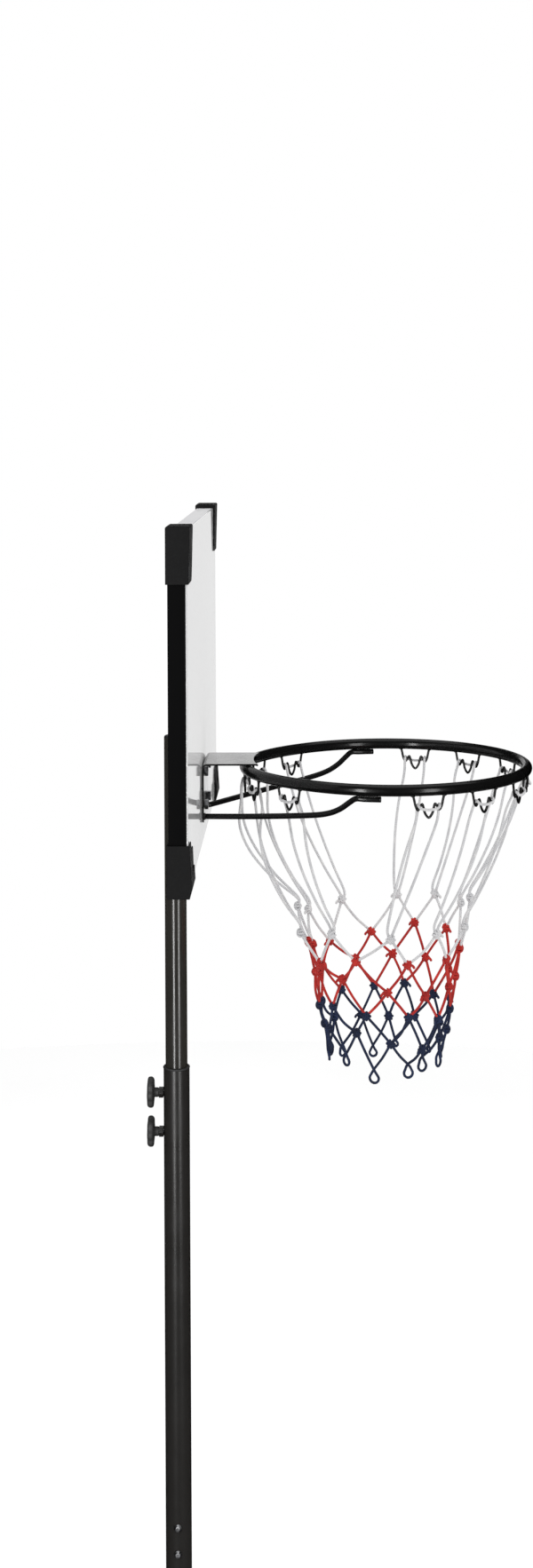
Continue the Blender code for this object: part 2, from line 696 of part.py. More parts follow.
def make_collar():
    """Plastic guide pressed into the outer tube, with a lip on its rim."""
    bore = INNER_R + SLIDE_GAP
    seat = OUTER_TOP_Z + GAP
    body_r = POLE_BORE - GAP
    lip_r = POLE_R + COLLAR_LIP_OVERHANG
    chamfer_r, chamfer_h = COLLAR_CHAMFER
    profile = [(lip_r - chamfer_r, seat + COLLAR_LIP), (lip_r, seat + COLLAR_LIP - chamfer_h), (lip_r, seat),
               (body_r, seat), (body_r, seat - COLLAR_LENGTH), (bore, seat - COLLAR_LENGTH),
               (bore, seat + COLLAR_LIP)]
    add_object("pole_collar", turned_mesh("pole_collar", profile, TUBE_SIDES),
               BLACK_PLASTIC, "black_plastic")


def make_plugs():
    """Cap in the top of the inner tube, and the guide foot in its lower end."""
    plug_r = INNER_R - INNER_WALL - GAP
    seat = INNER_TOP_Z + GAP
    cap = add_object("pole_top_plug",
                     mesh_from(rod_bmesh((0, 0, seat), (0, 0, seat + PLUG_LIP), INNER_R, TUBE_SIDES,
                                         end_radius=INNER_R - PLUG_CHAMFER), "pole_top_plug"),
                     BLACK_PLASTIC, "black_plastic")
    join(cap, rod_bmesh((0, 0, seat - PLUG_LENGTH), (0, 0, seat + WELD / 2), plug_r, TUBE_SIDES))
    finish(cap)
    seat = INNER_BOTTOM_Z - GAP
    guide = add_object("pole_guide_foot",
                       mesh_from(rod_bmesh((0, 0, seat - GUIDE_T), (0, 0, seat),
                                           POLE_BORE - SLIDE_GAP, TUBE_SIDES), "pole_guide_foot"),
                       BLACK_PLASTIC, "black_plastic")
    join(guide, rod_bmesh((0, 0, seat - WELD / 2), (0, 0, seat + PLUG_LENGTH), plug_r, TUBE_SIDES))
    finish(guide)


def make_joint_bolts():
    """Two bolts with domed heads through the joint of the outer and the lower tube."""
    for name, z in zip(("upper", "lower"), JOINT_BOLT_ZS):
        face = POLE_R + GAP
        bolt("joint_bolt_" + name, (0, -face, z), (0, 1, 0), 2 * face + JOINT_NUT_T + JOINT_BOLT_PROUD,
             JOINT_BOLT_R, (JOINT_HEAD_R, JOINT_HEAD_H, "dome"))
        nut("joint_nut_" + name, (0, face, z), (0, 1, 0), JOINT_BOLT_R, JOINT_NUT_AF, JOINT_NUT_T)


def knob_outline():
    """Outline of the knob's disc, with shallow finger flutes."""
    count = KNOB_LOBES * KNOB_POINTS_PER_LOBE
    points = []
    for index in range(count):
        angle = 2 * math.pi * index / count
        radius = KNOB_R - KNOB_LOBE_DEPTH * (0.5 - 0.5 * math.cos(KNOB_LOBES * angle))
        points.append((radius * math.cos(angle), radius * math.sin(angle)))
    return points


def make_clamps():
    """Weld nut, stud and knob of each clamp screw, with the stud's tip by the inner tube."""
    nut_face = POLE_R + GAP
    neck_start = nut_face + CLAMP_NUT_T + CLAMP_NECK_GAP
    knob_start = neck_start + CLAMP_NECK_L
    knob_end = knob_start + KNOB_T
    stud_end = knob_start + STUD_IN_KNOB
    for name, z in zip(("upper", "lower"), CLAMP_ZS):
        nut("clamp_nut_" + name, (-nut_face, 0, z), (-1, 0, 0), CLAMP_STUD_R, CLAMP_NUT_AF,
            CLAMP_NUT_T, BLACK_SATIN, "black_satin")
        stud = rod_bmesh((-INNER_R - GAP, 0, z), (-stud_end, 0, z), CLAMP_STUD_R, 14)
        add_object("clamp_stud_" + name, mesh_from(stud, "clamp_stud"), ZINC, "zinc")
        place = Matrix.Translation((-knob_end, 0, z)) @ turn_to((1, 0, 0))
        knob = add_object("clamp_knob_" + name,
                          outline_mesh("knob", knob_outline(), KNOB_T, place, KNOB_EDGE_R),
                          DARK_PLASTIC, "knob_plastic")
        join(knob, rod_bmesh((-neck_start, 0, z), (-knob_start - 2 * WELD, 0, z), CLAMP_NECK_R, 18,
                             end_radius=CLAMP_NECK_R * CLAMP_NECK_FLARE))
        cut(knob, rod_bmesh((-neck_start + EPS, 0, z), (-stud_end - GAP, 0, z), CLAMP_STUD_R + GAP, 14))
        finish(knob)


def tab_mesh(centre, along, normal, length, hole):
    """A flattened tube end: a strap with round ends and a bolt hole.

    centre is the hole's centre, along points to the tube and normal is the strap's.
    """
    along, normal = Vector(along).normalized(), Vector(normal).normalized()
    across = normal.cross(along)
    half = BRACE_TAB_W / 2
    points = arc((0, 0), half, 90, 270, 9) + [(length, -half), (length, half)]
    frame = Matrix((along, across, normal)).transposed().to_4x4()
    place = Matrix.Translation(Vector(centre) - normal * BRACE_TAB_T / 2) @ frame
    mesh = outline_mesh("tab", points, BRACE_TAB_T, place)
    drill = rod_bmesh(Vector(centre) - normal * BRACE_TAB_T, Vector(centre) + normal * BRACE_TAB_T,
                      hole + GAP, 14)
    return mesh, drill


def make_braces():
    """Two tube braces with flattened ends, and the bolts that hold them."""
    tab_y = POLE_R + GAP + BRACE_TAB_T / 2
    foot_z = DECK_Z + GAP + BRACE_TAB_T / 2
    for side, name in ((1, "left"), (-1, "right")):
        top = Vector((0, side * tab_y, BRACE_TOP_Z))
        foot = Vector((BRACE_FOOT_X, side * BRACE_FOOT_Y, foot_z))
        slope = Vector((foot.x - top.x, 0, foot.z - top.z)).normalized()
        top_end = top + slope * BRACE_TAB_L
        flat = Vector((top.x - foot.x, top.y - foot.y, 0)).normalized()
        foot_end = foot + flat * BRACE_TAB_L
        upper_bend = top_end + slope * BRACE_UPPER_LEAD
        lower_bend = foot_end + flat * BRACE_LOWER_LEAD + Vector((0, 0, BRACE_LOWER_RISE))
        lower_end = foot_end - flat * BRACE_IN_TAB + Vector((0, 0, BRACE_R - BRACE_TAB_T / 2))
        path = [top_end - slope * BRACE_IN_TAB, upper_bend, lower_bend, lower_end]
        brace = add_object("brace_" + name, wire_mesh("brace", path, BRACE_R, 3),
                           BLACK_SATIN, "black_satin")
        upper_tab, upper_drill = tab_mesh(top, slope, (0, side, 0), BRACE_TAB_L, BRACE_BOLT_R)
        lower_tab, lower_drill = tab_mesh(foot, flat, (0, 0, 1), BRACE_TAB_L, BRACE_BOLT_R)
        join(brace, upper_tab, lower_tab)
        cut(brace, upper_drill, lower_drill)
        finish(brace)
        bolt("brace_foot_bolt_" + name, (foot.x, foot.y, DECK_Z + 2 * GAP + BRACE_TAB_T), (0, 0, -1),
             BRACE_BOLT_IN_TANK, BRACE_BOLT_R, (BRACE_BOLT_AF, BRACE_BOLT_HEAD))
    face = POLE_R + BRACE_TAB_T + 2 * GAP
    bolt("brace_pole_bolt", (0, -face, BRACE_TOP_Z), (0, 1, 0), 2 * face + BRACE_NUT_T + BRACE_BOLT_PROUD,
         BRACE_BOLT_R, (BRACE_BOLT_AF, BRACE_BOLT_HEAD))
    nut("brace_pole_nut", (0, face, BRACE_TOP_Z), (0, 1, 0), BRACE_BOLT_R, BRACE_BOLT_AF, BRACE_NUT_T)


def channel_points(depth, leg, wall):
    """C-section with its web at y = 0 and its legs along -y."""
    return [(0, 0), (depth, 0), (depth, -leg), (depth - wall, -leg), (depth - wall, -wall),
            (wall, -wall), (wall, -leg), (0, -leg)]


def make_board():
    """Front sheet and the four rails behind it."""
    middle_z = (RAIL_TOP_Z + RAIL_BOTTOM_Z) / 2
    height = RAIL_TOP_Z - RAIL_BOTTOM_Z
    upright = Matrix(((0, 0, 1, 0), (1, 0, 0, 0), (0, 1, 0, 0), (0, 0, 0, 1)))
    place = Matrix.Translation((SHEET_BACK_X, 0, middle_z)) @ upright
    sheet_points = rounded_rectangle(BOARD_HALF_WIDTH, height / 2, SHEET_CORNER_R, 4)
    sheet = add_object("board_sheet", outline_mesh("board_sheet", sheet_points, SHEET_T, place),
                       WHITE_GLOSS, "white_gloss")
    for y, z in bracket_bolt_places():
        cut(sheet, rod_bmesh((SHEET_BACK_X - EPS, y, z), (SHEET_FRONT_X + EPS, y, z),
                             BRACKET_BOLT_R + GAP, 14))
    finish(sheet)
    section = channel_points(RAIL_DEPTH, RAIL_LEG, RAIL_WALL)
    for side, name in ((1, "left"), (-1, "right")):
        place = (Matrix.Translation((RAIL_BACK_X, side * BOARD_HALF_WIDTH, RAIL_BOTTOM_Z))
                 @ Matrix.Diagonal((1, side, 1, 1)))
        add_object("side_rail_" + name, outline_mesh("side_rail", section, height, place),
                   BLACK_PLASTIC, "black_plastic")
    span = 2 * (BOARD_HALF_WIDTH - RAIL_LEG - GAP)
    for side, name, z in ((1, "top_rail", RAIL_TOP_Z), (-1, "bottom_rail", RAIL_BOTTOM_Z)):
        lay = Matrix(((1, 0, 0, RAIL_BACK_X), (0, 0, 1, -span / 2), (0, side, 0, z), (0, 0, 0, 1)))
        add_object(name, outline_mesh(name, section, span, lay), PALE_PLASTIC, "pale_plastic")


def corner_profile(level):
    """Side view of a corner cap as (depth, height), with its outer end at height 0."""
    back = RAIL_BACK_X - GAP - CORNER_WALL
    front = SHEET_FRONT_X + GAP + CORNER_FRONT_WALL
    height = CORNER_HEIGHTS[level]
    chamfer_x, chamfer_z = CORNER_CHAMFERS[level]
    swell = CORNER_SWELLS[level] * (1 - chamfer_z / height)
    points = [(front, -height), (front + swell, -chamfer_z), (front + swell - chamfer_x, 0)]
    return points + arc((back + CORNER_BACK_ROUND, -CORNER_BACK_ROUND), CORNER_BACK_ROUND, 90, 180, 4) + [
        (back, -height)]


def make_corner_caps():
    """Four caps that wrap the corners of the sheet and the rails."""
    side_in = BOARD_HALF_WIDTH + GAP
    side_out = side_in + CORNER_WALL
    front_in = SHEET_FRONT_X + GAP
    back_out = RAIL_BACK_X - GAP - CORNER_WALL
    lay = Matrix(((1, 0, 0, 0), (0, 0, 1, side_out - CORNER_WIDTH), (0, 1, 0, 0), (0, 0, 0, 1)))
    for sy, side in ((1, "left"), (-1, "right")):
        for sz, level in ((1, "top"), (-1, "bottom")):
            end_z = BOARD_TOP_Z if level == "top" else BOARD_TOP_Z - BOARD_HEIGHT
            height = CORNER_HEIGHTS[level]
            place = Matrix.Translation((0, 0, end_z)) @ Matrix.Diagonal((1, sy, sz, 1))
            name = "corner_cap_" + level + "_" + side
            outer = outline_mesh(name, corner_profile(level), CORNER_WIDTH, place @ lay, CORNER_EDGE_R)
            inner = box_bmesh((RAIL_BACK_X - GAP, side_out - CORNER_WIDTH - EPS, -height - EPS),
                              (front_in, side_in, GAP - CAP_HEADROOM))
            opening = box_bmesh((back_out - EPS, side_out - CORNER_WIDTH - EPS, -height - EPS),
                                (front_in + 2 * CORNER_LIP, side_out - CORNER_LIP, -CORNER_LIP))
            for bm in (inner, opening):
                bmesh.ops.transform(bm, matrix=place, verts=bm.verts)
            cap = add_object(name, outer, DARK_PLASTIC, "cap_plastic")
            cut(cap, inner, opening)
            finish(cap)


def bracket_bolt_places():
    """Where the bracket's bolts go through the sheet."""
    return [(side * BRACKET_BOLT_Y, RING_Z - drop) for drop in BRACKET_BOLT_DROPS for side in (1, -1)]


def make_mast_angles():
    """Angle irons on both flanks of the inner tube, which carry the board's bolts."""
    front = SHEET_BACK_X - GAP
    inner = INNER_R + GAP
    height = MAST_ANGLE_TOP_Z - MAST_ANGLE_BOTTOM_Z
    section = [(front, inner), (front, MAST_ANGLE_HALF), (front - MAST_ANGLE_WALL, MAST_ANGLE_HALF),
               (front - MAST_ANGLE_WALL, inner + MAST_ANGLE_WALL),
               (front - MAST_ANGLE_BACK - INNER_R - GAP, inner + MAST_ANGLE_WALL),
               (front - MAST_ANGLE_BACK - INNER_R - GAP, inner)]
    for side, name in ((1, "left"), (-1, "right")):
        place = Matrix.Translation((0, 0, MAST_ANGLE_BOTTOM_Z)) @ Matrix.Diagonal((1, side, 1, 1))
        iron = add_object("mast_angle_" + name, outline_mesh("mast_angle", section, height, place),
                          BLACK_GLOSS, "black_gloss")
        for y, z in bracket_bolt_places():
            if y * side > 0:
                cut(iron, rod_bmesh((front - MAST_ANGLE_WALL - EPS, y, z), (front + EPS, y, z),
                                    BRACKET_BOLT_R + GAP, 14))
        finish(iron)


def make_bracket():
    """Folded plate that carries the ring, with its four bolts and nuts."""
    top = PLATE_Z + BRACKET_T
    foot = RING_Z - ROD_DROP - BRACKET_FOOT
    reach = RING_X - RING_R + BRACKET_REACH
    bend = BRACKET_BEND_R
    section = [(BRACKET_BACK_X, foot), (BRACKET_FRONT_X, foot)]
    section += arc((BRACKET_FRONT_X + bend, PLATE_Z - bend), bend, 180, 90, 4)
    section += [(reach, PLATE_Z), (reach, top)]
    section += arc((BRACKET_FRONT_X + bend, PLATE_Z - bend), bend + BRACKET_T, 90, 180, 5)
    lay = Matrix(((1, 0, 0, 0), (0, 0, -1, BRACKET_HALF_WIDTH), (0, 1, 0, 0), (0, 0, 0, 1)))
    plate = add_object("ring_bracket", outline_mesh("ring_bracket", section, 2 * BRACKET_HALF_WIDTH, lay),
                       BLACK_GLOSS, "black_gloss")
    cut(plate, rod_bmesh((RING_X, 0, PLATE_Z - EPS), (RING_X, 0, top + EPS), RING_R, 72))
    for y, z in bracket_bolt_places():
        cut(plate, rod_bmesh((BRACKET_BACK_X - EPS, y, z), (BRACKET_FRONT_X + EPS, y, z),
                             BRACKET_BOLT_R + GAP, 14))
    finish(plate)
    nut_face = SHEET_BACK_X - MAST_ANGLE_WALL - 2 * GAP
    names = ("upper_left", "upper_right", "lower_left", "lower_right")
    for name, (y, z) in zip(names, bracket_bolt_places()):
        head_face = BRACKET_FRONT_X + GAP
        bolt("bracket_bolt_" + name, (head_face, y, z), (-1, 0, 0),
             head_face - nut_face + BRACKET_NUT_T + BRACKET_BOLT_PROUD, BRACKET_BOLT_R,
             (BRACKET_BOLT_AF, BRACKET_BOLT_HEAD))
        nut("bracket_nut_" + name, (nut_face, y, z), (-1, 0, 0), BRACKET_BOLT_R, BRACKET_BOLT_AF,
            BRACKET_NUT_T)


def ring_place(angle, radius=RING_R, drop=0.0):
    """A point about the ring's axis, at an angle in degrees from +X."""
    a = math.radians(angle)
    return Vector((RING_X + radius * math.cos(a), radius * math.sin(a), RING_Z - drop))


def make_rods():
    """Rods from the bracket's foot to the underside of the ring's flanks."""
    weld_drop = RING_TUBE_R + ROD_R + GAP
    for side, name in ((1, "left"), (-1, "right")):
        start = Vector((BRACKET_FRONT_X + GAP, side * ROD_Y, RING_Z - ROD_DROP))
        weld = [ring_place(side * (ROD_WELD_START + (ROD_WELD_END - ROD_WELD_START) * i / 3), RING_R,
                           weld_drop) for i in range(4)]
        course = []
        for share, rise in ROD_COURSE:
            point = start.lerp(weld[0], share)
            point.z = start.z + (weld[0].z - start.z) * rise
            course.append(point)
        lead = start + Vector((ROD_LEAD, 0, 0))
        path = [start] + smooth_path([lead] + course + [weld[0]], 2) + weld[1:]
        rod = add_object("support_rod_" + name, wire_mesh("support_rod", path, ROD_R, 2),
                         BLACK_GLOSS, "black_gloss")
        finish(rod, 50)


def hook_angles():
    """Angles of the hooks round the ring: a run at the front and a run at the back."""
    front = [HOOK_FRONT_STEP * i for i in range(-3, 4)]
    rear = [180 + HOOK_REAR_STEP * i for i in range(-2, 3)]
    return front + rear


def hook_points(angle):
    """The wire of one hook, from weld to weld."""
    half = [(HOOK_HALF_WIDTH, HOOK_EMBED), HOOK_SHOULDER, HOOK_VALLEY, HOOK_PEAK, HOOK_THROAT,
            (0.0, HOOK_BOTTOM)]
    profile = [(-s, drop) for s, drop in half] + [point for point in reversed(half[:-1])]
    centre = ring_place(angle)
    along = Vector((-math.sin(math.radians(angle)), math.cos(math.radians(angle)), 0))
    return [centre + along * s - Vector((0, 0, drop)) for s, drop in profile]


def make_ring():
    """Round tube ring with its hooks welded underneath."""
    bpy.ops.mesh.primitive_torus_add(location=(RING_X, 0, RING_Z), major_radius=RING_R,
                                     minor_radius=RING_TUBE_R, major_segments=RING_STEPS,
                                     minor_segments=RING_SIDES)
    torus = bpy.context.object
    mesh = applied(torus)
    ring = add_object("ring", mesh, BLACK_GLOSS, "black_gloss")
    for angle in hook_angles():
        join(ring, wire_mesh("hook", hook_points(angle), HOOK_WIRE_R, 1))
    finish(ring, 50)


class CordNet:
    """Cords of one colour, joined at knots into a single closed mesh."""

    SIDES = 5

    def __init__(self, places):
        self.bm = bmesh.new()
        self.places = places
        self.knots = {}

    def section(self, point, direction):
        """A ring of vertices across a cord."""
        direction = direction.normalized()
        up = Vector((0, 0, 1)) if abs(direction.z) < 0.9 else Vector((1, 0, 0))
        side = direction.cross(up).normalized()
        other = direction.cross(side)
        angles = [2 * math.pi * i / self.SIDES for i in range(self.SIDES)]
        return [self.bm.verts.new(point + (side * math.cos(a) + other * math.sin(a)) * CORD_R)
                for a in angles]

    def bridge(self, first, second):
        """Join two sections with quads, without a twist."""
        count = self.SIDES
        turns = [second[i:] + second[:i] for i in range(count)]
        turns += [list(reversed(turn)) for turn in turns]
        best = min(turns, key=lambda t: sum((a.co - b.co).length for a, b in zip(first, t)))
        for i in range(count):
            after = (i + 1) % count
            self.bm.faces.new((first[i], first[after], best[after], best[i]))

    def cord(self, points, start=None, end=None):
        """A cord along points; start and end name the knots in which it is tied."""
        path = [Vector(p) for p in points]
        headings = [(after - before).normalized()
                    for before, after in zip([path[0]] + path[:-1], path[1:] + [path[-1]])]
        if start is not None:
            headings[0] = knot_port(self.places[start], path[1])
            path[0] = self.places[start] + headings[0] * KNOT_R
        if end is not None:
            headings[-1] = -knot_port(self.places[end], path[-2])
            path[-1] = self.places[end] - headings[-1] * KNOT_R
        sections = [self.section(point, heading) for point, heading in zip(path, headings)]
        for first, second in zip(sections, sections[1:]):
            self.bridge(first, second)
        for knot, ring in ((start, sections[0]), (end, sections[-1])):
            if knot is None:
                self.bm.faces.new(ring)
            else:
                self.knots.setdefault(knot, []).append(ring)

    def tie(self):
        """Wrap the cord ends at each knot in a lump."""
        for knot, rings in self.knots.items():
            centre = self.places[knot]
            out = outward_from_axis(centre)
            along = Vector((-out.y, out.x, 0))
            lump = [centre + out * sign * KNOT_R * KNOT_THICKNESS for sign in (1, -1)]
            lump += [centre + along * sign * KNOT_R * KNOT_CROWN[0] + Vector((0, 0, KNOT_R * KNOT_CROWN[1]))
                     for sign in (1, -1)]
            verts = [self.bm.verts.new(p) for p in lump] + [v for ring in rings for v in ring]
            before = set(self.bm.faces)
            bmesh.ops.convex_hull(self.bm, input=verts, use_existing_faces=False)
            ring_sets = [set(ring) for ring in rings]
            lids = [f for f in self.bm.faces if f not in before
                    and any(set(f.verts) <= ring for ring in ring_sets)]
            bmesh.ops.delete(self.bm, geom=lids, context="FACES_ONLY")

    def make(self, name, look, look_name):
        """Turn the cords into an object."""
        self.tie()
        bmesh.ops.delete(self.bm, geom=[v for v in self.bm.verts if not v.link_faces], context="VERTS")
        bmesh.ops.delete(self.bm, geom=[e for e in self.bm.edges if not e.link_faces], context="EDGES")
        return add_object(name, mesh_from(self.bm, name), look, look_name, 60)


def outward_from_axis(point):
    """Level direction from the net's axis to a point."""
    return Vector((point.x - RING_X + NET_LEAN, point.y, 0.0)).normalized()


def knot_arm(centre, side, rise):
    """One arm of the X in which cords leave a knot; side and rise are 1 or -1."""
    out = outward_from_axis(centre)
    along = Vector((-out.y, out.x, 0))
    return along * side * KNOT_SPREAD + Vector((0, 0, rise * math.sqrt(1 - KNOT_SPREAD ** 2)))


def knot_port(centre, target):
    """The arm of a knot that points to the target's side."""
    out = outward_from_axis(centre)
    way = target - centre
    across = way.y * out.x - way.x * out.y
    return knot_arm(centre, math.copysign(1, across), math.copysign(1, way.z))


def net_places():
    """Knots by row and column, and the hook angles sorted round the ring."""
    places = {}
    for row, (radius, drop, angles) in enumerate(NET_ROWS):
        for column, angle in enumerate(angles):
            places[row, column] = ring_place(angle, radius, drop) - Vector((NET_LEAN, 0, 0))
    return sorted(angle % 360 for angle in hook_angles()), places


def hook_local(angle, sideways, outward, drop):
    """A point near a hook, from its own sideways and outward directions."""
    a = math.radians(angle)
    along = Vector((-math.sin(a), math.cos(a), 0))
    out = Vector((math.cos(a), math.sin(a), 0))
    return ring_place(angle, RING_R, drop) + along * sideways + out * outward


def white_loop(angle, knot):
    """A loop over one hook: up from its knot, over both valleys and back down."""
    rest = HOOK_WIRE_R + CORD_R + LOOP_CLEARANCE
    valley_s, valley = HOOK_VALLEY
    seat = valley - rest * LOOP_SEAT
    over_rod = abs(abs(angle - 180) - 2 * HOOK_REAR_STEP) < 1
    inward = LOOP_ROD_IN if over_rod else LOOP_CLEAR_IN
    slack = LOOP_BULGE + LOOP_REAR_BULGE * max(0.0, -math.cos(math.radians(angle)))
    half = []
    for sign in (-1, 1):
        s = valley_s * sign
        lead = knot + knot_arm(knot, sign, 1) * LOOP_LEAD
        clear = hook_local(angle, s, -inward, LOOP_CLEAR_DROP)
        bulge = outward_from_axis(knot) * slack
        half.append([lead, clear.lerp(lead, 0.45) + bulge, clear,
                     hook_local(angle, s, -rest * 1.15, valley),
                     hook_local(angle, s, -rest * 0.85, seat + rest * 0.35),
                     hook_local(angle, s, 0.0, seat - rest * 0.08),
                     hook_local(angle, s * 0.97, rest * 0.85, seat + rest * 0.35),
                     hook_local(angle, s * 0.75, rest * 1.15, valley - rest * 0.6)])
    return [knot] + half[0] + list(reversed(half[1])) + [knot]


def short_of(start, knot):
    """The end of a cord that stops just in front of a knot of another colour."""
    return knot + knot_port(knot, start) * (KNOT_R + KNOT_BREAK)


def make_net():
    """White loops, red diamonds and blue diamonds with open eyes at the bottom."""
    hooks, knots = net_places()
    count = len(hooks)
    white, red, blue = CordNet(knots), CordNet(knots), CordNet(knots)
    for column, angle in enumerate(hooks):
        before, after = (0, (column - 1) % count), (0, column)
        white.cord(white_loop(angle, knots[before]), before, before)
        over = knots[1, column] + Vector((0, 0, WHITE_PASS_RISE))
        white.cord([knots[before], over, knots[after]], before, after)
        for step in (0, 1):
            onward = (column + step) % count
            back = (column - 1 + step) % count
            red.cord([knots[1, column], knots[2, back]], (1, column), (2, back))
            red.cord([knots[2, column], short_of(knots[2, column], knots[3, onward])], (2, column))
            blue.cord([knots[3, column], knots[4, back]], (3, column), (4, back))
    make_eyes(blue, knots, count)
    white.make("net_white_cord", WHITE_CORD, "white_cord")
    red.make("net_red_cord", RED_CORD, "red_cord")
    blue.make("net_blue_cord", BLUE_CORD, "blue_cord")


def make_eyes(blue, knots, count):
    """The lowest cords, which meet in pairs and cross into a small open eye."""
    for column, angle in enumerate(NET_EYE_ANGLES):
        middle = ring_place(angle, NET_EYE_RADIUS, NET_EYE_DROP) - Vector((NET_LEAN, 0, 0))
        a = math.radians(angle)
        along = Vector((-math.sin(a), math.cos(a), 0))
        out = Vector((math.cos(a), math.sin(a), 0))
        left, right = (4, column), (4, (column + 1) % count)
        apart = out * CORD_R * NET_EYE_OFFSET
        loop = [middle + along * NET_EYE_R * math.sin(t) + Vector((0, 0, NET_EYE_R * math.cos(t)))
                + apart * (1 - t / math.pi) for t in [math.radians(d) for d in NET_EYE_COURSE]]
        cross = middle + Vector((0, 0, NET_EYE_R * NET_EYE_CROSS))
        path = [knots[left], cross + apart] + loop + [cross - apart, knots[right]]
        blue.cord(path, left, right)


def middle_of(obj):
    """Middle of an object's bounding box."""
    corners = [Vector(corner) for corner in obj.bound_box]
    return sum(corners, Vector()) / len(corners)


def joint_empty(name, point, parent=None):
    """An empty on a joint's axis, which carries the pieces that move there."""
    empty = bpy.data.objects.new(name, None)
    empty.empty_display_size = 0.05
    PARTS.objects.link(empty)
    attach(empty, point, parent)
    return empty


def attach(obj, point, parent):
    """Place an object or an empty at a point in the world, under its parent."""
    obj.parent = parent
    base = Vector((0, 0, 0))
    above = parent
    while above is not None:
        base += above.location
        above = above.parent
    obj.location = Vector(point) - base


def hang_pieces():
    """Parent every piece to the empty of its body; each moving piece turns about its own axis."""
    stand = joint_empty("body_stand", (0, 0, 0))
    mast = joint_empty("body_mast", (0, 0, INNER_BOTTOM_Z), stand)
    carriers = {}
    for side, name in ((1, "left"), (-1, "right")):
        centre = (WHEEL_X, side * (WHEEL_OUT_Y - WHEEL_W / 2), WHEEL_Z)
        carriers["wheel_" + name] = joint_empty("body_wheel_" + name, centre, stand)
    for name, z in zip(("upper", "lower"), CLAMP_ZS):
        screw = joint_empty("body_clamp_" + name, (-POLE_R, 0, z), stand)
        carriers["clamp_stud_" + name] = screw
        carriers["clamp_knob_" + name] = screw
    filler = joint_empty("body_filler", (FILLER_X, 0, DECK_Z + NECK_H), stand)
    carriers["filler_seal"] = filler
    carriers["filler_cap"] = filler
    mast_names = ("inner_pole", "pole_top_plug", "pole_guide_foot", "mast_angle", "board_sheet",
                  "side_rail", "top_rail", "bottom_rail", "corner_cap", "ring", "bracket_",
                  "support_rod", "net_")
    for obj in [o for o in PARTS.objects if o.type == "MESH"]:
        carrier = carriers.get(obj.name)
        if carrier is None:
            carrier = mast if obj.name.startswith(mast_names) else stand
            point = middle_of(obj)
        else:
            point = carrier.location.copy()
        obj.data.transform(Matrix.Translation(-point))
        attach(obj, point, carrier)


make_tank()
make_wheels()
make_filler()
make_pole()
make_joint_bolts()
make_clamps()
make_braces()
make_board()
make_corner_caps()
make_mast_angles()
make_bracket()
make_rods()
make_ring()
make_net()
hang_pieces()
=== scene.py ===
"""Portable basketball stand: looks, fine shapes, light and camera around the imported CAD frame."""
import math
import random

import bmesh
import bpy
from mathutils import Matrix, Vector


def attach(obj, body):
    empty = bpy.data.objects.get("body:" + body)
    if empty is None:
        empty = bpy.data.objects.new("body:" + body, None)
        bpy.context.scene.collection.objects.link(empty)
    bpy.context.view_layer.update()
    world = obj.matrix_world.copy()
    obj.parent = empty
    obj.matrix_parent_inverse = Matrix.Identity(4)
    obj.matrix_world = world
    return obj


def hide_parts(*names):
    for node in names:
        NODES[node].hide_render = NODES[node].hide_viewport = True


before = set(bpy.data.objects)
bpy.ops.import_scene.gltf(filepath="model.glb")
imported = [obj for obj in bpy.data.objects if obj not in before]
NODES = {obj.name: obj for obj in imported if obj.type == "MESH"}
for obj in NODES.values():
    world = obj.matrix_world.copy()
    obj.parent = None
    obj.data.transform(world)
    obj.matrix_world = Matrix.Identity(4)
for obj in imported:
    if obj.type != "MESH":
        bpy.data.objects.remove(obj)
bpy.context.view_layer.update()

# Camera of the photograph: level, with the horizon above the middle of the picture
IMAGE_HEIGHT = 1766
CAMERA_AT = (0.2114, -2.9489, 2.3031)
CAMERA_YAW = 0.02555
CAMERA_ROLL = -0.00494
FOCAL_PIXELS = 2277.4
HORIZON_ROW = 468.4
SENSOR = 36.0
CAMERA_REACH = 50.0

# Floor: a round disc on a white world
FLOOR_RADIUS = 4.5
FLOOR_SIDES = 64

# Lights: name, place, point that it faces, size, power and whether matt surfaces see it.
# The strips streak the glossy tubes, and the cards stand behind the object to be mirrored in it.
LIGHTS = (
    ("top", (0.4, 0.6, 5.4), (0.2, 0.4, 0.0), (4.0, 4.0), 60.0, True),
    ("left_strip", (-0.75, -2.35, 1.60), (0.0, 0.0, 1.60), (0.30, 2.5), 52.0, False),
    ("right_strip", (1.45, -2.0, 1.65), (0.0, 0.0, 1.65), (0.45, 2.4), 34.0, False),
    ("sheet_card", (0.35, 3.7, 1.30), (0.35, 0.0, 1.30), (1.6, 1.65), 6.7, False),
    ("bracket_card", (0.0, 3.7, 2.55), (0.0, 0.0, 2.55), (1.2, 0.60), 2.1, False),
)

# Edges of the carried-over solids: weld distance, angles and bevel widths by part of the name
WELD_DISTANCE = 0.00001
BEVEL_FROM_DEGREES = 40
SHARP_FROM_DEGREES = 50
BEVELS = {"corner_cap": 0.0012, "board_sheet": 0.0005, "bolt": 0.0005, "nut": 0.0004,
          "pole_collar": 0.0004, "ring_bracket": 0.0005, "side_rail": 0.0005, "top_rail": 0.0005,
          "bottom_rail": 0.0005, "mast_angle": 0.0005, "axle_cap": 0.0004,
          "pole_top_plug": 0.0004, "brace_left": 0.0005, "brace_right": 0.0005}
SMALL_BEVEL = 0.0004
BEVEL_STEPS = 2

# Materials: the middle of a noise's range, and the colour of settled dust
NOISE_MIDDLE = (0.3, 0.7)
DUST = (0.30, 0.28, 0.25)

# Sockets of a Mix node for colours, by number: those for numbers and colours share their names
MIX_FACTOR = 0
MIX_FIRST = 6
MIX_SECOND = 7
MIX_RESULT = 2

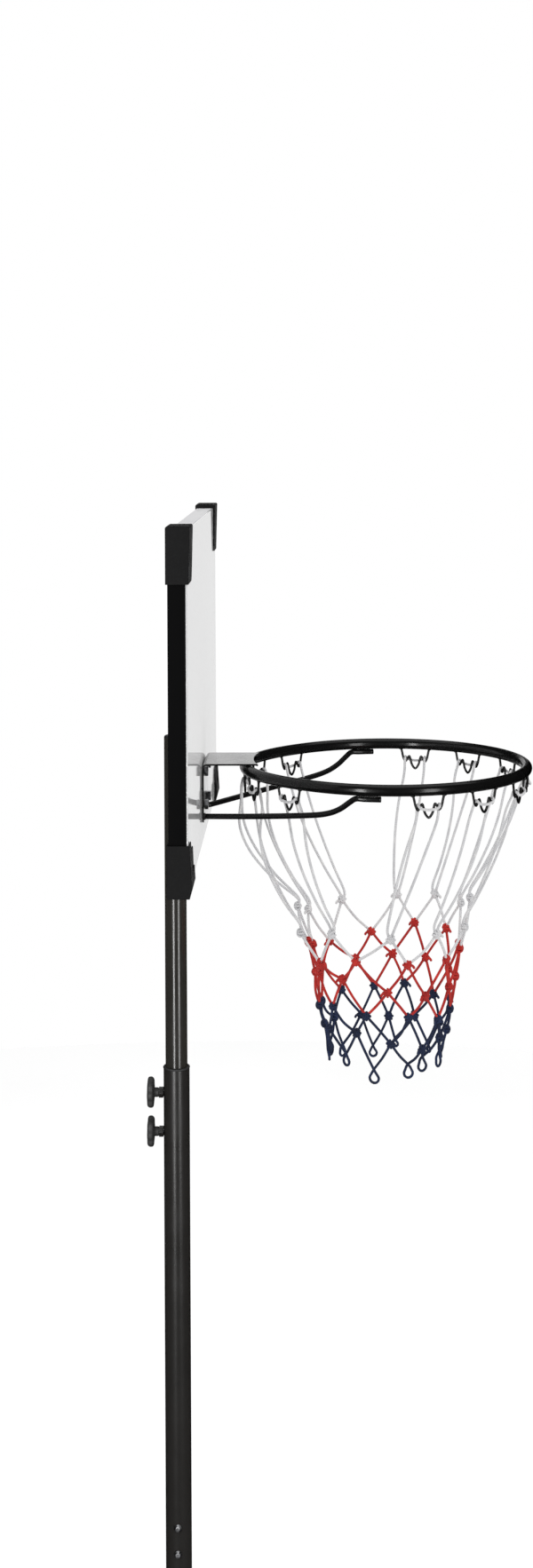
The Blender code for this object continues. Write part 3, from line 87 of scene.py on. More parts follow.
# Braid of the cords: strands around and length of one crossing
BRAID_STRANDS = 4
BRAID_PITCH = 0.0052

# Samples between two points of a curve: before they are spaced evenly, on hooks and on tails
FINE_PER_SPAN = 14
HOOK_PER_SPAN = 4
TAIL_PER_SPAN = 3

# Tubes: upright share of a direction that counts as steep, and the shortest gap between samples
STEEP = 0.9
SHORTEST_GAP = 1e-9

# Ring, hooks and rods. The ring's back reaches further under the bracket's plate, a hook's half is
# points as (distance sideways, depth below the ring), and a rod's course as shares of run and rise.
RING_X = 0.3128
RING_Z = 1.793
RING_R = 0.198
RING_TUBE_R = 0.008
RING_BACK_REACH = 0.0125
RING_BACK_SPAN = 60.0
HOOK_ANGLES = (0, 25.5, 51, 76.5, 136, 158, 180, 200, 224, 283.5, 309, 334.5)
RING_STEPS = 160
RING_SIDES = 24
HOOK_WIRE_R = 0.00175
HOOK_SIDES = 10
HOOK_VALLEY = (0.0152, 0.0272)
HOOK_HALF = ((0.0226, 0.0045), (0.0205, 0.0130), (0.0186, 0.0212), HOOK_VALLEY, (0.0122, 0.0226),
             (0.0092, 0.0190), (0.0074, 0.0236), (0.0052, 0.0316))
HOOK_BOTTOM = 0.0378
HOOK_FOOT_APART = 0.0222
HOOK_FOOT_DEPTH = 0.93
HOOK_FOOT_AXES = (0.0036, 0.0027, 0.0019)
ROD_R = 0.004
ROD_SIDES = 16
ROD_STEP = 0.004
ROD_START = (0.0451, 0.0465, 1.728)
ROD_LEAD = 0.006
ROD_UNDER_RING = 0.0003
ROD_WELD = (105.5, 95.5)
ROD_WELD_POINTS = 4
ROD_COURSE = ((0.35, 0.19), (0.69, 0.40), (0.82, 0.52), (0.90, 0.68), (0.96, 0.88))
ROD_BLUNT_LENGTH = 0.15
ROD_BLUNT_R = 0.82

# Weld beads: size of a scale, degrees between scales, and where each bead starts
SCALE_R = 0.0016
SCALE_AXES = (0.9, 1.0, 0.8)
SCALE_TURN = 0.8
PLATE_SEAM_FROM = 9.5
PLATE_SEAM_SCALES = 7
PLATE_SEAM_LIFT = 0.0008
PLATE_SEAM_INSET = 0.0006
ROD_SEAM_FROM = 97
ROD_SEAM_SCALES = 10
ROD_SEAM_OUT = 0.0034
ROD_SEAM_DROP = 0.0002
FOOT_SEAM_R = 0.0040
FOOT_SEAM_SCALES = 14
FOOT_SEAM_PROUD = 0.0006
FOOT_SCALE_R = 0.0013

# Net: rows of knots as a radius and (angle, depth below the ring), some with a radius of their own
CORD_R = 0.0019
CORD_SIDES = 8
CORD_STEP = 0.003
LOOP_STEP = 0.0028
EYE_STEP = 0.0025
NET_LEAN = 0.008
NET_SEED = 11
NET_ROWS = (
    (0.119, ((18, 0.208), (49, 0.208), (79, 0.215), (121, 0.220), (160, 0.219), (177, 0.206, 0.127),
             (190, 0.238, 0.125), (229, 0.223), (272, 0.223), (306, 0.221), (342, 0.226),
             (356, 0.190, 0.124))),
    (0.109, ((7, 0.262), (32, 0.251), (64, 0.253), (99, 0.269), (137, 0.275), (164, 0.268),
             (184, 0.254, 0.112), (210, 0.273), (246, 0.259), (285, 0.262), (321, 0.264),
             (350, 0.261))),
    (0.102, ((22, 0.306), (52, 0.300), (82, 0.301), (114, 0.306), (152, 0.305), (175, 0.303),
             (199, 0.291), (232, 0.289), (270, 0.302), (302, 0.311), (331, 0.308), (357, 0.305))),
    (0.096, ((10, 0.342), (40, 0.350), (71, 0.342), (98, 0.347), (131, 0.347), (164, 0.350),
             (184, 0.347), (217, 0.334), (252, 0.338), (288, 0.340), (319, 0.350), (344, 0.346))),
    (0.089, ((25, 0.384), (59, 0.386), (85, 0.391), (112, 0.386), (146, 0.382), (174, 0.378),
             (203, 0.373), (241, 0.366), (273, 0.378), (304, 0.390), (328, 0.381), (357, 0.382))),
)
SLACK_SAG = 0.003
SLACK_TWIST = 0.002

# Knots: wraps by spread and depth, their scatter, the lump inside and the tails
WRAP_SPREADS = (0.0058, 0.0056, 0.0041, 0.0038)
WRAP_DEPTHS = (0.0038, 0.0041, 0.0042, 0.0034)
WRAP_LEAN = 0.003
WRAP_STEPS = 14
WRAP_SIDES = 7
WRAP_THIN = 0.92
WRAP_SCATTER = 0.0004
KNOT_LEAN = 0.3
KNOT_CORE = (0.0044, 0.0042, 0.0030)
TAIL_CHANCE = 0.55
TAIL_COURSE = ((0.003, 0.0, 0.0), (0.0075, 0.002, 0.0012), (0.0095, 0.0055, 0.002))
TAIL_END_THIN = 0.75

# White loops: the lead out of the knot, the depth where a leg hangs clear of the hook, and the share
# of its bulge that a leg has on its way
LOOP_CLEARANCE = 0.0006
LOOP_LEAD_OUT = 0.0045
LOOP_LEAD_UP = 0.012
LOOP_CLEAR_DROP = 0.047
LOOP_BOW = ((0.26, 0.80), (0.52, 1.0), (0.79, 0.64))

# How a loop lies over a valley of its hook: share of the valley's place, then the distance across the
# wire and above the valley, both in distances from the wire's middle to the cord's
LOOP_OVER_WIRE = ((1.0, -1.15, 0.0), (1.0, -0.85, 1.37), (1.0, 0.0, 1.80), (0.97, 0.85, 1.37),
                  (0.75, 1.15, 0.60))
LOOP_MIDDLE = (1.2, 0.2)

# Loops by hook: bulge and drift of both legs, reach inside the ring, and the hook whose loop is laid
# from outside
LOOP_BULGES = (
    (0.006, 0.004), (0.007, 0.005), (0.008, 0.010), (0.012, 0.008),
    (0.014, 0.012), (0.018, 0.014), (0.023, 0.029), (0.014, 0.020),
    (0.010, 0.014), (0.009, 0.007), (0.008, 0.010), (0.005, 0.007))
LOOP_DRIFTS = (
    (0.002, -0.003), (-0.004, 0.004), (0.005, -0.002), (-0.002, 0.007),
    (-0.003, 0.004), (0.004, -0.002), (-0.004, 0.005), (0.003, -0.005),
    (-0.004, 0.002), (-0.005, 0.000), (-0.003, 0.003), (0.004, -0.002))
LOOP_INWARD = (0.0135, 0.0135, 0.0135, 0.0135, 0.0120, 0.0070, 0.0055, 0.0070, 0.0120, 0.0135,
               0.0135, 0.0135)
LOOP_FROM_OUTSIDE = 6

# Open eyes at the net's foot as angle, depth below the ring and radius, and their shape: degrees of
# the points round an eye, height of the crossing in its radii and gap of its cords in cord radii
EYES = ((38, 0.428, 0.0048), (78, 0.430, 0.0042), (101, 0.444, 0.0052), (138, 0.436, 0.0046),
        (163, 0.424, 0.0050), (190, 0.418, 0.0055), (226, 0.411, 0.0066), (257, 0.429, 0.0068),
        (291, 0.423, 0.0062), (307, 0.417, 0.0062), (334, 0.421, 0.0050), (371, 0.424, 0.0048))
EYE_RING_RADIUS = 0.083
EYE_TURNS = (45, 80, 115, 150, 180, 210, 245, 280, 315)
EYE_NECK = 1.9
EYE_APART = 1.3
EYE_CORD_SAG = 0.002
COLUMNS = len(EYES)

# Front flanges of the corner caps by level: height of the cap's end, the flange's height, and its swell
# at the depth where the end's chamfer starts
FLANGES = {"top": (2.1615, 0.0748, 0.0020, 0.0016), "bottom": (1.6825, 0.0555, 0.0014, 0.0120)}
FLANGE_BACK_X = 0.0425
FLANGE_FRONT_X = 0.0437
FLANGE_INNER_Y = 0.2875
FLANGE_OUTER_Y = 0.3278
FLANGE_LIP = 0.0297
FLANGE_CORNER_R = 0.006
FLANGE_CORNER_STEPS = 6
FLANGE_BEVEL_FROM = 0.6

# Clamp knobs: section as radius and height over the back, and eight flutes
KNOB_ZS = {"upper": 1.316, "lower": 1.259}
KNOB_BACK_X = -0.0263
KNOB_SECTION = (
    (0.0041, 0.0), (0.0064, 0.0), (0.0067, 0.0004), (0.0069, 0.0058), (0.0085, 0.0066),
    (0.0190, 0.0070), (0.0212, 0.0078), (0.0223, 0.0094), (0.0225, 0.0115), (0.0222, 0.0135),
    (0.0212, 0.0150), (0.0192, 0.0158), (0.0120, 0.0159), (0.0108, 0.0155), (0.0100, 0.0149),
    (0.0030, 0.0147), (0.0004, 0.0147))
KNOB_FLUTES = 8
KNOB_FLUTE_DEPTH = 0.0022
KNOB_FLUTE_FROM = 0.012
KNOB_FLUTE_BLEND = 0.010
KNOB_STEPS = 96

# Filler cap: section as radius and height over its foot, from the lid's underside round the skirt
FILLER_CAP_FOOT = (-0.590, 0.0, 0.1365)
FILLER_CAP_SECTION = (
    (0.0004, 0.0151), (0.0256, 0.0151), (0.0258, 0.0149), (0.0258, 0.0), (0.0280, 0.0),
    (0.0286, 0.0006), (0.0287, 0.0148), (0.0284, 0.0164), (0.0277, 0.0175), (0.0264, 0.0181),
    (0.0216, 0.0181), (0.0210, 0.0178), (0.0206, 0.0172), (0.0004, 0.0172))
FILLER_CAP_GRIPS = 16
FILLER_CAP_GRIP_DEPTH = 0.0011
FILLER_CAP_GRIP_FROM = 0.0264
FILLER_CAP_GRIP_BLEND = 0.0018
FILLER_CAP_STEPS = 192
FLUTE_SHARPNESS = 1.5

# Wheels: section as radius and depth under the side face, grooves in the tread as radius and distance
# from the middle, and ribs
WHEEL_CENTRE = (0.062, 0.262, 0.047)
WHEEL_HALF_WIDTH = 0.0135
WHEEL_SECTION = (
    (0.0052, 0.0), (0.0128, 0.0), (0.0134, 0.0008), (0.0146, 0.0085), (0.0155, 0.0092),
    (0.0330, 0.0092), (0.0342, 0.0084), (0.0352, 0.0010), (0.0358, 0.0), (0.0412, 0.0),
    (0.0428, 0.0008), (0.0440, 0.0024), (0.0448, 0.0046), (0.0450, 0.0070))
WHEEL_GROOVES = ((0.0450, 0.0040), (0.0441, 0.0034), (0.0441, 0.0022), (0.0450, 0.0016))
WHEEL_STEPS = 96
RIB_COUNT = 10
RIB_SIZE = (0.0220, 0.0018, 0.0070)
RIB_MIDDLE_R = 0.0242
RIB_SUNK = 0.0058


def camera():
    """A level camera at the photograph's viewpoint."""
    data = bpy.data.cameras.new("photo_camera")
    data.sensor_width = SENSOR
    data.lens = SENSOR * FOCAL_PIXELS / IMAGE_HEIGHT
    data.shift_y = (HORIZON_ROW - IMAGE_HEIGHT / 2) / IMAGE_HEIGHT
    data.clip_end = CAMERA_REACH
    obj = bpy.data.objects.new("photo_camera", data)
    bpy.context.scene.collection.objects.link(obj)
    upright = Matrix.Rotation(math.radians(90), 4, "X")
    obj.matrix_world = (Matrix.Translation(CAMERA_AT) @ Matrix.Rotation(CAMERA_YAW, 4, "Z")
                        @ upright @ Matrix.Rotation(CAMERA_ROLL, 4, "Z"))
    bpy.context.scene.camera = obj


def area_light(name, at, target, size, power, diffuse):
    """A soft rectangular light that faces a point."""
    data = bpy.data.lights.new(name, "AREA")
    data.shape = "RECTANGLE"
    data.size, data.size_y = size
    data.energy = power
    obj = bpy.data.objects.new(name, data)
    bpy.context.scene.collection.objects.link(obj)
    way = Vector(target) - Vector(at)
    obj.matrix_world = Matrix.Translation(at) @ way.to_track_quat("-Z", "Y").to_matrix().to_4x4()
    obj.visible_diffuse = diffuse
    obj.visible_camera = False


def lights():
    """A bright even studio on a white world that glossy faces don't mirror."""
    world = bpy.data.worlds.new("studio")
    world.use_nodes = True
    world.node_tree.nodes["Background"].inputs["Color"].default_value = (1.0, 1.0, 1.0, 1.0)
    world.node_tree.nodes["Background"].inputs["Strength"].default_value = 1.0
    world.cycles_visibility.glossy = False
    bpy.context.scene.world = world
    for row in LIGHTS:
        area_light(*row)
    bpy.context.scene.view_settings.view_transform = "Standard"


class Look:
    """A Principled material built up from procedural nodes, on the object's own coordinates."""

    def __init__(self, name, colour, roughness, metallic=0.0, **sockets):
        self.material = bpy.data.materials.new(name)
        self.material.use_nodes = True
        self.tree = self.material.node_tree
        self.shader = self.tree.nodes["Principled BSDF"]
        self.shader.inputs["Base Color"].default_value = (*colour, 1.0)
        self.shader.inputs["Roughness"].default_value = roughness
        self.shader.inputs["Metallic"].default_value = metallic
        for socket, value in sockets.items():
            self.shader.inputs[socket.replace("_", " ")].default_value = value
        coordinates = self.tree.nodes.new("ShaderNodeTexCoord")
        self.place = coordinates.outputs["Object"]
        self.uv = coordinates.outputs["UV"]

    def link(self, source, target):
        """Lead one socket into another."""
        self.tree.links.new(source, target)

    def stretched(self, scale):
        """The object's coordinates, scaled by axis."""
        mapping = self.tree.nodes.new("ShaderNodeMapping")
        mapping.inputs["Scale"].default_value = scale
        self.link(self.place, mapping.inputs["Vector"])
        return mapping.outputs["Vector"]

    def noise(self, scale, detail=3.0, vector=None):
        """Noise from 0 to 1."""
        node = self.tree.nodes.new("ShaderNodeTexNoise")
        node.inputs["Scale"].default_value = scale
        node.inputs["Detail"].default_value = detail
        self.link(vector or self.place, node.inputs["Vector"])
        return node.outputs["Fac"]

    def cells(self, scale):
        """Distance to the middle of each Voronoi cell."""
        node = self.tree.nodes.new("ShaderNodeTexVoronoi")
        node.inputs["Scale"].default_value = scale
        self.link(self.place, node.inputs["Vector"])
        return node.outputs["Distance"]

    def span(self, value, low_in, high_in, low_out, high_out):
        """Map a value from one range to another."""
        node = self.tree.nodes.new("ShaderNodeMapRange")
        self.link(value, node.inputs["Value"])
        for key, number in (("From Min", low_in), ("From Max", high_in), ("To Min", low_out),
                            ("To Max", high_out)):
            node.inputs[key].default_value = number
        return node.outputs["Result"]

    def fade(self, value, start, end, most=1.0):
        """Rise with a value, from none at its start to the most at its end."""
        return self.span(value, start, end, 0.0, most)

    def math(self, operation, first, second=None):
        """One Math node; numbers and sockets both work."""
        node = self.tree.nodes.new("ShaderNodeMath")
        node.operation = operation
        for socket, value in zip(node.inputs, (first, second)):
            if value is None:
                continue
            if isinstance(value, (int, float)):
                socket.default_value = value
            else:
                self.link(value, socket)
        return node.outputs["Value"]

    def tint(self, factor, other):
        """Blend the colour so far towards another one by a factor."""
        node = self.tree.nodes.new("ShaderNodeMix")
        node.data_type = "RGBA"
        first = node.inputs[MIX_FIRST]
        base = self.shader.inputs["Base Color"]
        if base.is_linked:
            self.link(base.links[0].from_socket, first)
        else:
            first.default_value = base.default_value
        node.inputs[MIX_SECOND].default_value = (*other, 1.0)
        self.link(factor, node.inputs[MIX_FACTOR])
        self.link(node.outputs[MIX_RESULT], base)
        return self

    def rough(self, factor, low, high):
        """Let the roughness follow a factor, over the middle of its range."""
        self.link(self.span(factor, *NOISE_MIDDLE, low, high), self.shader.inputs["Roughness"])
        return self

    def bump(self, height, distance, strength=1.0):
        """Add a bump on top of the ones before it."""
        node = self.tree.nodes.new("ShaderNodeBump")
        node.inputs["Strength"].default_value = strength
        node.inputs["Distance"].default_value = distance
        self.link(height, node.inputs["Height"])
        normal = self.shader.inputs["Normal"]
        if normal.is_linked:
            self.link(normal.links[0].from_socket, node.inputs["Normal"])
        self.link(node.outputs["Normal"], normal)
        return self

    def facing_up(self):
        """How far a surface faces up, for the dust that settles on it."""
        geometry = self.tree.nodes.new("ShaderNodeNewGeometry")
        parts = self.tree.nodes.new("ShaderNodeSeparateXYZ")
        self.link(geometry.outputs["Normal"], parts.inputs["Vector"])
        return self.fade(parts.outputs["Z"], 0.4, 1.0)


def times(colour, factor):
    """A colour made lighter or darker by a factor."""
    return tuple(min(c * factor, 1.0) for c in colour)


def paint(name, colour, rough, peel, fleck=1.9, **sockets):
    """Sprayed or powder-coated paint: orange peel, faint blotches and fine specks of dust."""
    look = Look(name, colour, rough[0], **sockets)
    blotches = look.fade(look.noise(scale=7.0, detail=4.0), 0.35, 0.75)
    specks = look.fade(look.noise(scale=900.0, detail=1.0), 0.66, 0.80, most=0.5)
    look.tint(blotches, times(colour, 1.0 + 0.2 * (fleck - 1.0)))
    look.tint(specks, times(colour, fleck))
    look.rough(look.noise(scale=28.0, detail=5.0), *rough)
    look.bump(look.noise(scale=260.0, detail=2.0), peel)
    return look.bump(look.noise(scale=1500.0, detail=1.0), peel * 0.25)


def moulded(name, colour, rough, grain, dust=0.0, **sockets):
    """Moulded plastic: leather-like grain, slow colour drift, sink marks and a little dust."""
    look = Look(name, colour, rough[0], **sockets)
    drift = look.fade(look.noise(scale=5.0, detail=3.0), *NOISE_MIDDLE)
    worn = look.fade(look.noise(scale=320.0, detail=2.0), 0.45, 0.75, most=0.7)
    look.tint(drift, times(colour, 1.2))
    look.tint(worn, times(colour, 1.5))
    if dust:
        patches = look.fade(look.noise(scale=14.0, detail=6.0), 0.40, 0.75, most=dust)
        look.tint(look.math("MULTIPLY", look.facing_up(), patches), DUST)
    look.rough(look.noise(scale=40.0, detail=4.0), *rough)
    look.bump(look.noise(scale=9.0, detail=1.0), grain * 6.0, strength=0.35)
    return look.bump(look.cells(scale=1100.0), grain, strength=0.5)


def zinc_plate(name):
    """Bright zinc on steel: soft spangle, fine turning marks and duller patches."""
    look = Look(name, (0.66, 0.67, 0.69), 0.30, metallic=1.0)
    spangle = look.fade(look.cells(scale=420.0), 0.1, 0.7, most=0.5)
    dull = look.fade(look.noise(scale=60.0, detail=4.0), 0.50, 0.80, most=0.6)
    look.tint(spangle, (0.50, 0.51, 0.54))
    look.tint(dull, (0.42, 0.40, 0.36))
    look.rough(look.noise(scale=180.0, detail=4.0), 0.22, 0.46)
    return look.bump(look.noise(scale=2400.0, detail=2.0), 0.00004)


def braided(name, colour, shade_and_dirt, fuzz):
    """Round braided cord: two sets of strands that cross, painted shade in the valleys between them,
    patches of dirt and a soft sheen.
    """
    look = Look(name, colour, 0.86, Specular_IOR_Level=0.25, Sheen_Weight=0.06, Sheen_Roughness=0.5)
    parts = look.tree.nodes.new("ShaderNodeSeparateXYZ")
    look.link(look.uv, parts.inputs["Vector"])
    around = look.math("MULTIPLY", parts.outputs["X"], BRAID_STRANDS * 2 * math.pi)
    along = look.math("MULTIPLY", parts.outputs["Y"], 2 * math.pi / BRAID_PITCH)
    one = look.math("SINE", look.math("ADD", around, along))
    two = look.math("SINE", look.math("SUBTRACT", around, along))
    strands = look.math("MULTIPLY", one, two)
    height = look.fade(strands, -1.0, 1.0)
    # Painted shade: the valleys between the strands are darkened towards the dark colour, which the
    # dirt patches also use.
    valley_shade = look.fade(strands, 0.3, -0.9, most=0.75)
    dirt = look.fade(look.noise(scale=24.0, detail=3.0), 0.50, 0.72, most=0.55)
    fluffy = look.fade(look.noise(scale=70.0, detail=4.0), 0.45, 0.75, most=0.85)
    look.tint(valley_shade, shade_and_dirt)
    look.tint(dirt, shade_and_dirt)
    look.tint(fluffy, fuzz)
    look.bump(height, 0.00045, strength=0.8)
    return look.bump(look.noise(scale=2600.0, detail=3.0), 0.00012, strength=0.6)


def glossy_sheet(name):
    """White acrylic sheet: hard gloss, wiping marks and a hint of waviness."""
    look = Look(name, (0.68, 0.68, 0.68), 0.05)
    drift = look.fade(look.noise(scale=2.2, detail=2.0), *NOISE_MIDDLE)
    look.tint(drift, (0.65, 0.65, 0.655))
    wiped = look.noise(scale=16.0, detail=6.0, vector=look.stretched((1.0, 1.0, 5.0)))
    look.rough(wiped, 0.035, 0.075)
    return look.bump(look.noise(scale=3.0, detail=1.0), 0.0002, strength=0.10)


def make_looks():
    """Every material, by the slot name that the solids use."""
    looks = {
        "black_gloss": paint("bracket_gloss_black", (0.0080, 0.0078, 0.0076), rough=(0.20, 0.32),
                             peel=0.00007, Specular_IOR_Level=0.15, Coat_Weight=1.0,
                             Coat_Roughness=0.08, Coat_IOR=1.42),
        # Painted shade: the ring gets a darker, less glossy copy of the bracket's black gloss paint,
        # standing in for the shade on it.
        "ring_shaded_black": paint("ring_shaded_gloss_black", (0.0044, 0.0044, 0.0044), rough=(0.24, 0.34),
                            peel=0.00007, Specular_IOR_Level=0.08, Coat_Weight=0.6,
                            Coat_Roughness=0.14, Coat_IOR=1.36),
        "black_satin": paint("tube_satin_black", (0.0180, 0.0167, 0.0153), rough=(0.27, 0.36),
                             peel=0.00005, Specular_IOR_Level=0.48),
        "inner_black": paint("inner_tube_satin_black", (0.0245, 0.0230, 0.0196), rough=(0.17, 0.25),
                             peel=0.00003, Specular_IOR_Level=0.55),
        "rod_black": paint("rod_deep_black", (0.0045, 0.0045, 0.0047), rough=(0.30, 0.42),
                           peel=0.00004, Specular_IOR_Level=0.05, Coat_Weight=0.5,
                           Coat_Roughness=0.12, Coat_IOR=1.35),
        "rail_black": paint("rail_deep_black", (0.0024, 0.0024, 0.0026), rough=(0.38, 0.50),
                            peel=0.00003, Specular_IOR_Level=0.02),
        "black_plastic": moulded("base_black_plastic", (0.016, 0.016, 0.017), rough=(0.46, 0.62),
                                 grain=0.00018, dust=0.06),
        "cap_plastic": moulded("cap_black_plastic", (0.0074, 0.0074, 0.0077), rough=(0.46, 0.58),
                               grain=0.00008, Specular_IOR_Level=0.06),
        "wheel_plastic": moulded("wheel_grey_plastic", (0.030, 0.031, 0.033), rough=(0.50, 0.64),
                                 grain=0.00010, dust=0.08),
        "knob_plastic": moulded("knob_grey_plastic", (0.028, 0.028, 0.028), rough=(0.52, 0.66),
                                grain=0.00020),
        "pale_plastic": paint("rail_pale", (0.66, 0.66, 0.67), rough=(0.30, 0.42), peel=0.00003,
                              fleck=0.9),
        "white_gloss": glossy_sheet("board_white_gloss"),
        "zinc": zinc_plate("zinc_plate"),
        "rubber": moulded("seal_rubber", (0.014, 0.014, 0.014), rough=(0.72, 0.86), grain=0.00006),
        "white_cord": braided("cord_white", colour=(0.71, 0.71, 0.72), shade_and_dirt=(0.46, 0.46, 0.48),
                              fuzz=(0.77, 0.76, 0.75)),
        "red_cord": braided("cord_red", colour=(0.52, 0.016, 0.011), shade_and_dirt=(0.20, 0.006, 0.005),
                            fuzz=(0.68, 0.036, 0.022)),
        "blue_cord": braided("cord_blue", colour=(0.0066, 0.0175, 0.064),
                             shade_and_dirt=(0.003, 0.007, 0.022), fuzz=(0.011, 0.030, 0.105)),
    }
    return {name: look.material for name, look in looks.items()}


LOOKS = make_looks()
OWN_LOOKS = {"side_rail_left": "rail_black", "side_rail_right": "rail_black",
             "inner_pole": "inner_black"}


def smooth_faces(mesh):
    """Let a solid's round faces shade smoothly; its real edges are split again by angle."""
    for name in ("custom_normal", "sharp_edge"):
        if name in mesh.attributes:
            mesh.attributes.remove(mesh.attributes[name])
    mesh.shade_smooth()


def dress_nodes():
    """Give each carried-over solid its material, and soften its edges."""
    for name, node in NODES.items():
        look = OWN_LOOKS.get(name, node.data.materials[0].name)
        node.data.materials[0] = LOOKS[look]
        smooth_faces(node.data)
        weld = node.modifiers.new("Weld", "WELD")
        weld.merge_threshold = WELD_DISTANCE
        widths = [width for part, width in BEVELS.items() if part in name]
        if widths:
            bevel = node.modifiers.new("Bevel", "BEVEL")
            bevel.width = widths[0]
            bevel.segments = BEVEL_STEPS
            bevel.limit_method = "ANGLE"
            bevel.angle_limit = math.radians(BEVEL_FROM_DEGREES)
        split = node.modifiers.new("Split", "EDGE_SPLIT")
        split.split_angle = math.radians(SHARP_FROM_DEGREES)
        split.use_edge_sharp = False
        node.modifiers.new("Normals", "WEIGHTED_NORMAL").keep_sharp = True


def floor():
    """A pale round floor, kept out of reflections; beyond it the world is plain white."""
    look = Look("floor_pale", (0.95, 0.95, 0.95), 0.9)
    drift = look.fade(look.noise(scale=1.4, detail=2.0), *NOISE_MIDDLE)
    look.tint(drift, (0.93, 0.93, 0.93))
    bm = bmesh.new()
    bmesh.ops.create_circle(bm, cap_ends=True, segments=FLOOR_SIDES, radius=FLOOR_RADIUS)
    mesh = bpy.data.meshes.new("floor")
    bm.to_mesh(mesh)
    bm.free()
    mesh.materials.append(look.material)
    obj = bpy.data.objects.new("floor", mesh)
    bpy.context.scene.collection.objects.link(obj)
    obj.visible_glossy = False


def smooth_path(points, per_span):
    """Points on a Catmull-Rom curve through a list of points."""
    points = [Vector(p) for p in points]
    padded = [2 * points[0] - points[1]] + points + [2 * points[-1] - points[-2]]
    path = []
    for a, b, c, d in zip(padded, padded[1:], padded[2:], padded[3:]):
        for step in range(per_span):
            t = step / per_span
            path.append(0.5 * ((2 * b) + (c - a) * t + (2 * a - 5 * b + 4 * c - d) * t ** 2
                               + (3 * b - a - 3 * c + d) * t ** 3))
    return path + [points[-1]]


def even_path(points, step):
    """A smooth path through points, with samples a step apart."""
    fine = smooth_path(points, FINE_PER_SPAN)
    lengths = [0.0]
    for a, b in zip(fine, fine[1:]):
        lengths.append(lengths[-1] + (b - a).length)
    count = max(2, round(lengths[-1] / step))
    path, at = [], 0
    for index in range(count + 1):
        want = lengths[-1] * index / count
        while at < len(fine) - 2 and lengths[at + 1] < want:
            at += 1
        gap = max(lengths[at + 1] - lengths[at], SHORTEST_GAP)
        path.append(fine[at].lerp(fine[at + 1], min(max((want - lengths[at]) / gap, 0.0), 1.0)))
    return path


def turns(count):
    """Evenly spaced angles of a full turn."""
    return [2 * math.pi * k / count for k in range(count)]


def join(bm, first, second):
    """Faces between two rings of vertices."""
    for k in range(len(first)):
        after = (k + 1) % len(first)
        bm.faces.new((first[k], first[after], second[after], second[k]))


def best_turn(first, second):
    """By how many steps the last ring of a closed tube is turned against the first."""
    count = len(first)
    return min(range(count), key=lambda t: sum((first[k].co - second[(k + t) % count].co).length
                                               for k in range(count)))


class Shape:
    """Tubes, lumps and other faces collected in one mesh, with a cord's coordinates as UVs."""

    def __init__(self):
        self.bm = bmesh.new()
        self.uv = self.bm.loops.layers.uv.new("UVMap")

    def tube(self, path, radius, sides, closed=False):
        """A tube along a path; radius is a number or one number for each point."""
        path = [Vector(p) for p in path]
        count = len(path)
        radii = radius if isinstance(radius, list) else [radius] * count
        rings = self.hoops(path, radii, sides, closed)
        start = 0.0
        for i in range(count if closed else count - 1):
            first, second = rings[i], rings[(i + 1) % count]
            turn = best_turn(first, second) if closed and i == count - 1 else 0
            end = start + (path[(i + 1) % count] - path[i]).length
            self.band(first, second, turn, start, end)
            start = end
        if not closed:
            self.bm.faces.new(list(reversed(rings[0])))
            self.bm.faces.new(rings[-1])

    def hoops(self, path, radii, sides, closed):
        """Rings of vertices across a path, which don't twist from one to the next."""
        count = len(path)
        ways = []
        for i in range(count):
            before = path[i - 1] if i or closed else path[i]
            after = path[(i + 1) % count] if i < count - 1 or closed else path[i]
            ways.append((after - before).normalized())
        up = Vector((0, 0, 1)) if abs(ways[0].z) < STEEP else Vector((1, 0, 0))
        side = ways[0].cross(up).normalized()
        rings = []
        for point, way, radius in zip(path, ways, radii):
            side = (side - way * side.dot(way)).normalized()
            other = way.cross(side)
            rings.append([self.bm.verts.new(point + radius * (side * math.cos(a) + other * math.sin(a)))
                          for a in turns(sides)])
        return rings

    def band(self, first, second, turn, start, end):
        """Faces between two rings; their UVs are the share around and the length along."""
        sides = len(first)
        for k in range(sides):
            after = (k + 1) % sides
            face = self.bm.faces.new((first[k], first[after], second[(after + turn) % sides],
                                      second[(k + turn) % sides]))
            spots = ((k, start), (k + 1, start), (k + 1, end), (k, end))
            for loop, (around, along) in zip(face.loops, spots):
                loop[self.uv].uv = (around / sides, along)

    def lump(self, centre, axes, steps=10):
        """An ellipsoid with three half-axes as vectors, built level by level from one pole."""
        place = Matrix.Translation(centre) @ Matrix(axes).transposed().to_4x4()
        top, foot = [self.bm.verts.new(place @ Vector((0, 0, height))) for height in (1, -1)]
        levels = steps - 3
        rings = []
        for level in range(1, levels):
            tilt = math.pi * level / levels
            radius, height = math.sin(tilt), math.cos(tilt)
            rings.append([self.bm.verts.new(place @ Vector((-radius * math.sin(a), radius * math.cos(a),
                                                            height))) for a in turns(steps)])
        for first, second in zip(rings, rings[1:]):
            join(self.bm, first, second)
        for pole, ring in ((top, rings[0]), (foot, rings[-1])):
            for k in range(steps):
                self.bm.faces.new((pole, ring[k], ring[(k + 1) % steps]))

    def piece(self, name, slot, body, replaced=(), material=None):
        """Finish the mesh as a piece of the object."""
        bmesh.ops.recalc_face_normals(self.bm, faces=self.bm.faces)
        mesh = bpy.data.meshes.new(name)
        self.bm.to_mesh(mesh)
        self.bm.free()
        mesh.materials.append(material or LOOKS[slot])
        mesh.shade_smooth()
        mesh.set_sharp_from_angle(angle=math.radians(SHARP_FROM_DEGREES))
        obj = bpy.data.objects.new(name, mesh)
        bpy.context.scene.collection.objects.link(obj)
        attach(obj, body)
        if replaced:
            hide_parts(*replaced)


def ring_place(angle, radius=RING_R, drop=0.0):
    """A point about the ring's axis, at an angle in degrees from +X."""
    a = math.radians(angle)
    return Vector((RING_X + radius * math.cos(a), radius * math.sin(a), RING_Z - drop))


